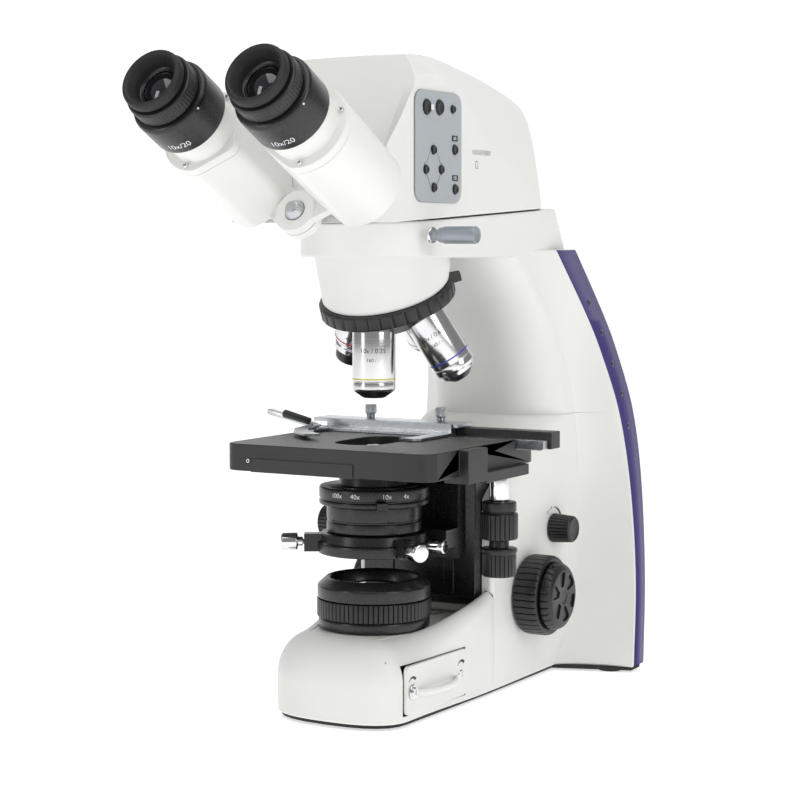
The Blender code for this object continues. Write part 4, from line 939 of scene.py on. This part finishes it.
def build_stage():
    refined("stage_plate", "black_stage", 0.0008)
    front_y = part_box("stage_plate")[0].y - OPTICAL_Y
    plate = [(-0.050, 0.0), (-0.047, 0.004), (0.020, 0.004), (0.020, -0.004), (-0.050, -0.004)]
    lower = extruded(plate, -0.0006, 0.0008)
    upright = moved(0, front_y, 0.1508) @ Matrix.Rotation(math.pi / 2, 4, "X")
    dress(new_piece("stage_under_plate", lower, OPTICAL @ upright), "stage", "black_stage", bevel=0.0002)
    hex_screw("stage_screw", OPTICAL @ upright @ moved(-0.052, 0.0025, -0.0008), "stage", 0.0013)
    ticks = [block((0.030 + 0.0025 * k, 0.0385, STAGE_TOP_Z + 0.00002),
                   (0.0303 + 0.0025 * k, 0.0385 + (0.0040 if k % 4 == 0 else 0.0022), STAGE_TOP_Z + 0.0001))
             for k in range(13)]
    dress(new_piece("stage_scale", merged(ticks), OPTICAL), "stage", "white_print")
    refined("x_guide", "black_stage", 0.0005)
    guide_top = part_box("x_guide")[1].z
    ticks = [block((-0.030 + 0.002 * k, 0.0655, guide_top + 0.00002),
                   (-0.0297 + 0.002 * k, 0.0655 + (0.0034 if k % 5 == 0 else 0.0020), guide_top + 0.0001))
             for k in range(58)]
    dress(new_piece("guide_scale", merged(ticks), OPTICAL), "stage", "white_print")

    refined("x_carriage", "grey_metal", 0.0003)
    teeth = [block((0.0500 + 0.0012 * k, 0.0512, 0.1566), (0.0506 + 0.0012 * k, 0.0573, 0.1576))
             for k in range(31)]
    dress(new_piece("rack_teeth", merged(teeth), OPTICAL), "holder", "chrome")
    refined("slide_holder", "grey_metal", 0.0003)
    refined("holder_lever", "grey_metal", 0.0002)
    pivot = moved(-0.061, 0.032, 0.1665)
    cap = soften([(0, 0.0012), (0.0028, 0.0012), (0.0034, 0.0006), (0.0034, 0.0), (0, 0.0)], 0.0003)
    lathe("lever_cap", cap, 48, OPTICAL @ pivot, "holder_lever", "grey_metal")
    grip = soften([(0, 0.0190), (0.0020, 0.0190), (0.0027, 0.0182), (0.0022, 0.0), (0, 0.0)], 0.0005)
    lean = moved(-0.0655, 0.0314, 0.1692) @ spun(8) \
        @ spun(-76, "Y")
    lathe("lever_grip", grip, 32, OPTICAL @ lean, "holder_lever", "black_plastic")
    for label in ("left", "right"):
        node = "thumbscrew_" + label
        profile = soften([(0, 0.0085), (0.0031, 0.0085), (0.0036, 0.0080), (0.0036, 0.0030),
                          (0.0032, 0.0026), (0.0026, 0.0020), (0.0026, 0.0), (0.0016, 0.0),
                          (0.0016, -0.0020), (0, -0.0020)], 0.0002)
        seat = at_joint("thumbscrew_turn_" + label)
        lathe(node + "_skin", profile, 192, seat, node, "grey_metal", [node],
              ribs=ribbed(32, 0.0002, 0.0031, 0.0079, 0.0034, 1))


def build_drive():
    seat = at_joint("y_knob_turn")
    upper = soften([(0.0026, 0.0), (0.0046, 0.0), (0.0046, -0.0148), (0.0098, -0.0152), (0.0104, -0.0158),
                    (0.0104, -0.0208), (0.0098, -0.0213), (0.0098, -0.0218), (0.0112, -0.0224),
                    (0.0114, -0.0230), (0.0114, -0.0372), (0.0108, -0.0380), (0.0060, -0.0382),
                    (0.0026, -0.0382)], 0.0003)
    lathe("y_knob_skin", upper, 216, seat, "y_knob", "black_plastic", ["y_knob"],
          ribs=ribbed(24, 0.0007, -0.0372, -0.0229, 0.0108, 8))
    lower = soften([(0, 0.0080), (0.0025, 0.0080), (0.0025, -0.0385), (0.0060, -0.0388),
                    (0.0060, -0.0430), (0.0106, -0.0434), (0.0110, -0.0440), (0.0110, -0.0458),
                    (0.0102, -0.0466), (0.0104, -0.0474), (0.0104, -0.0598), (0.0096, -0.0606),
                    (0, -0.0608)], 0.0003)
    lathe("x_knob_skin", lower, 216, seat, "x_knob", "black_plastic", ["x_knob"],
          ribs=ribbed(24, 0.0006, -0.0598, -0.0474, 0.0099, 8))
    sleeve = soften([(0.0058, 0.0006), (0.0062, 0.0002), (0.0062, -0.0146), (0.0048, -0.0147),
                     (0.0048, 0.0006)], 0.0002)
    lathe("drive_sleeve", sleeve, 64, seat, "y_knob", "chrome")


# ---------------------------------------------------------------- nosepiece and objectives
def build_turret():
    profile = soften([(0, -0.0346), (0.0396, -0.0346), (0.0402, -0.0348), (0.0414, -0.0354),
                      (0.0414, -0.0430), (0.0404, -0.0438), (0.0380, -0.0446), (0.0340, -0.0466),
                      (0.0200, -0.0560), (0, -0.0612)], 0.0005)
    form = turned(profile, 384, ribbed(32, 0.0011, -0.0432, -0.0352, 0.0402, 4))
    turret = new_piece("turret_ring", form, TURRET)
    tab = extruded([(-0.0040, 0.0385), (0.0040, 0.0385), (0.0030, 0.0462), (-0.0026, 0.0462)], -0.0400,
                   -0.0352)
    combine(turret, "UNION", [new_piece("tab", tab, TURRET @ spun(-52))])
    dress(turret, "nosepiece", "black_plastic", ["nosepiece_turret"])

    radius, top = 0.0129, -0.0571
    shapes = {
        "10x": ([(radius, -0.0858), (0.0126, -0.0860), (0.0126, -0.0866), (radius, -0.0868),
                 (radius, -0.0905), (0.0121, -0.0920)],
                [(0.0118, -0.0921), (0.0072, -0.0955), (0.0060, -0.0960), (0, -0.0960)],
                "yellow_ring", -0.0845, "10x / 0.25"),
        "40x": ([(radius, -0.0880), (0.0126, -0.0882), (0.0126, -0.0888), (radius, -0.0890),
                 (radius, -0.0925), (0.0113, -0.0945), (0.0108, -0.0965)],
                [(0.0104, -0.0966), (0.0060, -0.0998), (0.0052, -0.1005), (0, -0.1005)],
                "blue_ring", -0.0850, "40x / 0.65"),
        "100x": ([(radius, -0.0880), (0.0126, -0.0882), (0.0126, -0.0888), (radius, -0.0890),
                  (radius, -0.0905), (0.0104, -0.0950)],
                 [(0.0100, -0.0951), (0.0050, -0.1000), (0.0040, -0.1008), (0, -0.1008)],
                 "white_print", -0.0860, "100x / 1.25"),
        "4x": ([(radius, -0.0730), (0.0112, -0.0745), (0.0112, -0.0760), (0.0118, -0.0765),
                (0.0118, -0.0800), (0.0108, -0.0810)],
               [(0.0105, -0.0811), (0.0103, -0.0872), (0.0098, -0.0880), (0, -0.0880)],
               "red_ring", -0.0715, "4x / 0.10"),
    }
    for quarter, label in enumerate(("10x", "40x", "100x", "4x")):
        barrel, tip, band, band_z, text = shapes[label]
        place = TURRET @ spun(90 * quarter) @ Matrix.Rotation(-TURRET_TILT, 4, "X")
        profile = [(0, top + 0.004), (radius - 0.0010, top + 0.004), (radius, top + 0.0030)] + barrel
        node = "objective_" + label
        lathe(node + "_barrel", soften(profile + [(0, barrel[-1][1])], 0.0003), 96, place, "nosepiece",
              "turned_chrome", [node])
        lathe(node + "_tip", soften([(0, barrel[-1][1] + 0.0002)] + tip, 0.0003), 96, place, "nosepiece",
              "black_metal")
        form = turned([(radius + 0.00008, band_z + 0.0004), (radius + 0.00008, band_z - 0.0004),
                       (radius - 0.0003, band_z - 0.0004), (radius - 0.0003, band_z + 0.0004)], 96)
        dress(new_piece(node + "_band", form, place), "nosepiece", band)
        facing = math.radians(-62 - 90 * quarter)
        lines = [(text, 0.0040, top - 0.0105), ("160 / -", 0.0030, top - 0.0160)]
        for k, (words, size, height) in enumerate(lines):
            if height < band_z + 0.002:
                continue
            form = wrapped(lettering(words, size), radius + 0.00003, height, facing)
            dress(new_piece("%s_text_%d" % (node, k), form, place), "nosepiece", "black_print")
        lens = turned([(0, tip[-1][1] - 0.0001), (0.0016, tip[-1][1] - 0.0001), (0.0018, tip[-1][1] + 0.0003),
                       (0, tip[-1][1] + 0.0003)], 32)
        dress(new_piece(node + "_lens", lens, place), "nosepiece", "lens")


# ---------------------------------------------------------------- camera head
HEAD_TOP = [(-0.0790, 0.3065), (-0.0650, 0.336), (-0.046, 0.3715), (-0.038, 0.3835), (-0.028, 0.3885),
            (0.010, 0.3915), (0.072, 0.3870), (0.120, 0.3785), (0.155, 0.3690), (0.163, 0.3610),
            (0.178, 0.3060)]
HEAD_ARCH = [(-0.0790, 0.3235), (-0.0715, 0.3312), (-0.053, 0.3494), (-0.0411, 0.3642), (-0.0316, 0.3731),
             (-0.0234, 0.3777), (-0.0145, 0.379), (-0.0069, 0.3779), (0.0007, 0.3746), (0.016, 0.3679),
             (0.0427, 0.3546), (0.076, 0.3358), (0.1111, 0.3161), (0.1262, 0.3072), (0.178, 0.3050)]
HEAD_SIDE = [(-0.0790, 0.048), (0.110, 0.048), (0.126, 0.0478), (0.130, 0.0470), (0.150, 0.0372),
             (0.165, 0.0300), (0.178, 0.0200)]
HEAD_SHOULDER = [(-0.0790, 0.044), (-0.070, 0.044), (-0.046, 0.0425), (-0.030, 0.037), (-0.015, 0.033),
                 (0.0, 0.030), (0.100, 0.030), (0.130, 0.026), (0.150, 0.020), (0.163, 0.014),
                 (0.178, 0.009)]
HEAD_DROP = [(-0.0790, 0.0008), (0.010, 0.0008), (0.060, 0.0040), (0.100, 0.0055), (0.178, 0.0045)]
HEAD_BULGE = [(-0.0790, 0.0), (0.020, 0.0), (0.100, 0.80), (0.130, 1.0), (0.178, 1.0)]
FACE_DEPTH = -0.1225
FACE_EDGE = [(-0.060, 0.0388), (0.030, 0.0388), (0.059, 0.0410), (0.077, 0.0440), (0.100, 0.0500)]
BAND_DEPTH = [(-0.060, -0.0840), (0.016, -0.1084), (0.041, -0.1162), (0.0595, -0.1198), (0.068, -0.1224),
              (0.100, -0.1224)]


def head_half(y):
    """Half section of the camera head: flat side, crease, curved shoulder and nearly flat top."""
    low = seam_z(y)
    top = max(smooth_value(HEAD_TOP, y), low + 0.002)
    arch = min(max(smooth_value(HEAD_ARCH, y), low + 0.0012), top - 0.0006)
    side = smooth_value(HEAD_SIDE, y)
    shoulder = min(smooth_value(HEAD_SHOULDER, y), side - 0.001)
    corner = max(top - smooth_value(HEAD_DROP, y), arch + 0.0003)
    bulge = smooth_value(HEAD_BULGE, y)
    control = (side - (0.5 - 0.14 * bulge) * (side - shoulder),
               arch + (0.5 + 0.48 * bulge) * (corner - arch))
    half = [(0.0, low), (side - 0.0008, low), (side, low + 0.0008)]
    half += [(side, low + 0.0008 + (arch - 0.0004 - low - 0.0008) * k / 6) for k in range(1, 7)]
    half += bend((side - 0.0003, arch), control, (shoulder, corner), 10)
    crown = [(shoulder * (1 - t), corner + (top - corner) * (1 - (1 - t) ** 2))
             for t in (k / 6 for k in range(1, 7))]
    return [(x, y, z) for x, z in half + crown]


def head_face():
    """The cutter for the head's front: a flat face behind the tubes, sloped bands out to the sides."""
    heights = steps_between(FACE_EDGE[0][0], FACE_EDGE[-1][0], 40)

    def ring(outline):
        right = [(x, h + HINGE_DROP, s) for x, h, s in outline]
        return right + [(-x, y, s) for x, y, s in reversed(right)]

    return skin([ring([(smooth_value(FACE_EDGE, h), h, FACE_DEPTH) for h in heights]),
                 ring([(STAND_HALF + 0.0003, h, smooth_value(BAND_DEPTH, h)) for h in heights]),
                 ring([(STAND_HALF + 0.0150, h, smooth_value(BAND_DEPTH, h) + 0.0010) for h in heights]),
                 ring([(STAND_HALF + 0.0150, h, 0.0500) for h in heights])])


def build_head():
    rings = [both_sides(head_half(y)) for y in steps_between(-0.0785, 0.1770, 72)]
    head = new_piece("camera_head", skin(rings))
    chin = new_piece("chin", block((-0.060, -0.100, 0.250), (0.060, -0.0500, 0.2925)))
    slot = extruded(rounded_rectangle((0.0340, 0.3338), (0.0580, 0.3368), 0.0008, 3), -0.001, 0.003)
    inside_wall = side_frame(STAND_HALF - 0.002)
    tray = extruded(rounded_rectangle((-0.0362, 0.3043), (0.0187, 0.3682), 0.0072), 0.0014, 0.004)
    cuts = [new_piece("recess", head_face(), TUBE_HINGE), chin,
            new_piece("slot", slot, inside_wall), new_piece("tray", tray, inside_wall)]
    combine(head, "DIFFERENCE", cuts)
    dress(head, "stand", "white_paint", ["head_body", "camera_block"], sharp=26)

    pivot = soften([(0, -0.1062), (0.0036, -0.1062), (0.0040, -0.1066), (0.0060, -0.1100),
                    (0.0060, -0.1240), (0, -0.1240)], 0.0004)
    lathe("tube_pivot", pivot, 64, TUBE_HINGE, "stand", "grey_metal")
    # A seat inside the seam between arm and camera head, black as painted shade so the gap reads as a dark
    # line.
    seat = both_sides([(x * 0.92, y * 0.94) for x, y in arm_half(ARM_FRONT_Y, 0.160)])
    rings = [[(x, y, seam_z(y) + height) for x, y in seat] for height in (-0.0040, 0.0030)]
    dress(new_piece("seam_shade_seat", skin(rings)), "stand", "black_metal")
    card = [block((y0, z0, 0.0), (y1, z1, 0.0001)) for y0, z0, y1, z1 in
            ((0.0382, 0.3256, 0.0385, 0.3300), (0.0410, 0.3256, 0.0413, 0.3300),
             (0.0382, 0.3256, 0.0413, 0.3259), (0.0385, 0.3297, 0.0413, 0.3300))]
    face = side_frame(STAND_HALF)
    dress(new_piece("card_sign", merged(card), face), "stand", "black_print")


TUBE_RADIUS = 0.0253
TUBE_FLATS = [(20, 0.0196), (-58, 0.0225)]
TUBE_CORNER_SHARPNESS = 40
TUBE_SCREWS = {"right": (-80, 25, 117), "left": (-100, 64, 155)}
EYEPIECE_BORE = 0.0153
KNUCKLE_RADIUS, PIVOT_RADIUS = 0.0126, 0.0063


def tube_ring(s, radius, side, count=180):
    """A round outline with two flats that face the other tube and the hinge below."""
    points = []
    for k in range(count):
        a = math.tau * k / count
        inverse = (1 / radius) ** TUBE_CORNER_SHARPNESS
        for facing, distance in TUBE_FLATS:
            away = a - math.radians(180 - facing if side > 0 else facing)
            inverse += (max(math.cos(away),
                            0.0) / (distance + radius - TUBE_RADIUS)) ** TUBE_CORNER_SHARPNESS
        reach = inverse ** (-1 / TUBE_CORNER_SHARPNESS)
        points.append((reach * math.cos(a), reach * math.sin(a), s))
    return points


def build_tubes():
    for side, label in ((1, "right"), (-1, "left")):
        body = "tube_" + label
        axis = at_joint("diopter_turn_" + label) @ UP_THE_TUBE
        stations = [(-0.1214, 0.0233), (-0.1211, 0.0241), (-0.1204, 0.0246), (-0.1196, 0.0248),
                    (-0.1000, 0.0250), (-0.0800, 0.0252), (-0.0606, 0.0253), (-0.0602, 0.0250)]
        rings = [tube_ring(s, radius, side) for s, radius in stations]
        tube = new_piece("tube_housing_" + label, skin(rings), axis)
        low, high = ((-0.1160, -0.1106), (-0.1212, -0.1166))[side < 0]
        knuckle = rod(KNUCKLE_RADIUS, low, high, 64)
        angle = math.atan2(HINGE_TO_TUBE.y, side * HINGE_TO_TUBE.x)
        web = block((0.0, -0.0105, low + 0.0004), (0.026, 0.0105, high - 0.0004))
        combine(tube, "UNION", [new_piece("knuckle", knuckle, TUBE_HINGE),
                                new_piece("web", web, TUBE_HINGE @ Matrix.Rotation(angle, 4, "Z"))])
        bore = rod(PIVOT_RADIUS, low - 0.002, high + 0.002, 48)
        socket = rod(EYEPIECE_BORE, -0.076, 0.01, 64)
        combine(tube, "DIFFERENCE", [new_piece("bore", bore, TUBE_HINGE),
                                     new_piece("socket", socket, axis)])
        dress(tube, body, "white_paint", [body], sharp=32)

        flange = [tube_ring(s, radius, side) for s, radius in
                  ((-0.0599, 0.0250), (-0.0596, 0.0253), (-0.0552, 0.0253), (-0.0547, 0.0250),
                   (-0.0545, 0.0244))]
        collar = new_piece("tube_flange_" + label, skin(flange), axis)
        barrel = soften([(0.0153, -0.0412), (0.0194, -0.0412), (0.0200, -0.0414), (0.0202, -0.0424),
                         (0.0200, -0.0540), (0.0202, -0.0555), (0.0153, -0.0558)], 0.0005)
        combine(collar, "DIFFERENCE", [new_piece("socket", rod(EYEPIECE_BORE, -0.09, 0.01, 64), axis)])
        dress(collar, body, "white_paint", sharp=32)
        lathe("tube_barrel_" + label, barrel, 96, axis, body, "white_paint")
        for k, corner in enumerate(TUBE_SCREWS[label]):
            a = math.radians(corner)
            place = axis @ moved(0.0226 * math.cos(a), 0.0226 * math.sin(a), -0.0546)
            hex_screw("tube_screw_%s_%d" % (label, k), place, body, 0.0014)

        build_eyepiece(label, axis, body)


def build_eyepiece(label, axis, body):
    barrel = soften([(0.0160, -0.0178), (0.0212, -0.0182), (0.0222, -0.0190), (0.0228, -0.0204),
                     (0.0228, -0.0396), (0.0222, -0.0406), (0.0150, -0.0408), (0.0150, -0.0700),
                     (0.0130, -0.0700), (0.0130, -0.0178)], 0.0005)
    lathe("eyepiece_barrel_" + label, barrel, 128, axis, body, "black_metal", ["eyepiece_" + label])
    cup = soften([(0.0108, -0.0118), (0.0118, -0.0092), (0.0126, -0.0060), (0.0146, -0.0012),
                  (0.0158, 0.0), (0.0172, -0.0006), (0.0180, -0.0022), (0.0180, -0.0058),
                  (0.0172, -0.0068), (0.0162, -0.0074), (0.0160, -0.0178), (0.0108, -0.0178)], 0.0008, 3)
    lathe("eyecup_" + label, cup, 128, axis, body, "rubber")
    lens = [(0, -0.0078), (0.0030, -0.0080), (0.0060, -0.0088), (0.0085, -0.0100), (0.0108, -0.0116),
            (0.0108, -0.0150), (0, -0.0150)]
    lathe("eye_lens_" + label, lens, 64, axis, body, "lens")
    rim = soften([(0.0112, -0.0096), (0.0118, -0.0092), (0.0118, -0.0112), (0.0108, -0.0118),
                  (0.0104, -0.0108)], 0.0002)
    lathe("eye_lens_rim_" + label, rim, 64, axis, body, "black_metal")
    ring = soften([(0.0188, -0.0078), (0.0196, -0.0086), (0.0198, -0.0092), (0.0198, -0.0166),
                   (0.0190, -0.0176), (0.0163, -0.0177), (0.0163, -0.0078)], 0.0004)
    form = turned(ring, 480, ribbed(60, 0.0003, -0.0164, -0.0093, 0.0192, 2))
    dress(new_piece("diopter_ring_skin_" + label, form, axis), "diopter_ring_" + label, "black_plastic",
          ["diopter_ring_" + label])
    facing = math.radians(-78)
    text = wrapped(lettering("10x/20", 0.0052), 0.0229, -0.0340, facing)
    dress(new_piece("eyepiece_text_" + label, text, axis), body, "white_print")
    dot = axis @ spun(-20) @ moved(0.0226, 0, -0.0200) @ SIDEWAYS
    lathe("eyepiece_dot_" + label, [(0, 0.0004), (0.0006, 0.0003), (0.0006, -0.0004), (0, -0.0004)], 20,
          dot, body, "white_print")


# ---------------------------------------------------------------- control panel
def build_panel():
    refined("control_panel", "grey_panel", 0.0002)
    for name in ("capture", "record", "power", "up", "left", "right", "down", "menu", "mode"):
        node = "button_" + name
        low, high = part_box(node)
        radius = (high.z - low.z) / 2
        place = moved(high.x, (low.y + high.y) / 2, (low.z + high.z) / 2) @ SIDEWAYS
        profile = soften([(0, -0.0004), (radius * 0.5, -0.0003), (radius * 0.85, 0.0), (radius, -0.0005),
                          (radius, -0.0040), (0, -0.0040)], 0.0002)
        lathe(node + "_skin", profile, 48, place, node, "black_plastic", [node])
    face = side_frame(PANEL_FACE_X + 0.00002)
    build_cross_outline(face)
    for name in ("menu", "mode"):
        low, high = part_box("button_" + name)
        middle = (low + high) / 2
        y, z = middle.y - OPTICAL_Y, high.z + 0.0038
        label = extruded(rounded_rectangle((y - 0.0036, z - 0.0017), (y + 0.0036, z + 0.0017), 0.0004, 3),
                         0, 0.00008)
        dress(new_piece("panel_label_" + name, label, face), "stand", "black_print")
        bars = [block((y - 0.0018, z - 0.0008 + 0.0007 * k, 0.00008),
                      (y + 0.0018, z - 0.0005 + 0.0007 * k, 0.00014)) for k in range(3)]
        dress(new_piece("panel_bars_" + name, merged(bars), face), "stand", "white_print")
    low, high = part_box("button_capture")
    y, z = high.y - OPTICAL_Y - 0.0012, (low.z + high.z) / 2
    sign = merged([extruded(rounded_rectangle((y - 0.0002, z - 0.0016), (y + 0.0030, z + 0.0016), 0.0004, 3),
                            0.0, 0.00008)])
    dress(new_piece("camera_sign", sign, side_frame(PANEL_FACE_X + 0.0015)), "button_capture",
          "white_print")


def build_cross_outline(face):
    """A thin line round the four arrow buttons: a cross with round arms."""
    low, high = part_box("button_left")[0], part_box("button_right")[1]
    bottom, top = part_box("button_down")[0].z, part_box("button_up")[1].z
    y = (low.y + high.y) / 2 - OPTICAL_Y
    z = (bottom + top) / 2
    arm, reach_y, reach_z = 0.0036, 0.0102, 0.0123
    points = []
    for quarter in range(4):
        a = math.radians(90 * quarter)
        reach = (reach_y, reach_z)[quarter % 2] + 0.0012
        cap = [(reach - arm + arm * math.cos(b), arm * math.sin(b))
               for b in (math.radians(d) for d in range(-90, 91, 15))]
        for u, v in cap:
            points.append((y + u * math.cos(a) - v * math.sin(a), z + u * math.sin(a) + v * math.cos(a)))
    curve = bpy.data.curves.new("cross_outline", "CURVE")
    curve.dimensions = "3D"
    curve.bevel_depth = 0.00012
    curve.bevel_resolution = 1
    spline = curve.splines.new("POLY")
    spline.points.add(len(points) - 1)
    for point, (px, py) in zip(spline.points, points):
        point.co = (px, py, 0, 1)
    spline.use_cyclic_u = True
    line = bpy.data.objects.new("cross_outline", curve)
    bpy.context.scene.collection.objects.link(line)
    line.matrix_world = face
    curve.materials.append(LOOKS["black_print"][0])
    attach(line, "stand")


def build_nameplate():
    """A small blank plate on the sloping front of the base."""
    place = OPTICAL @ moved(-0.002, -0.0507, 0.0385) @ spun(52, "X")
    plate = extruded(rounded_rectangle((-0.0125, -0.0062), (0.0125, 0.0062), 0.0020), -0.0008, 0.0006)
    dress(new_piece("nameplate", plate, place), "stand", "grey_metal", bevel=0.0002)


for build in (build_camera, build_studio, build_stand, build_strips, build_nosepiece_mount, build_field_unit,
              build_lamp_drawer, build_side_controls, build_focus_knobs, build_carrier, build_condenser,
              build_stage, build_drive, build_turret, build_head, build_tubes, build_panel, build_nameplate):
    build()
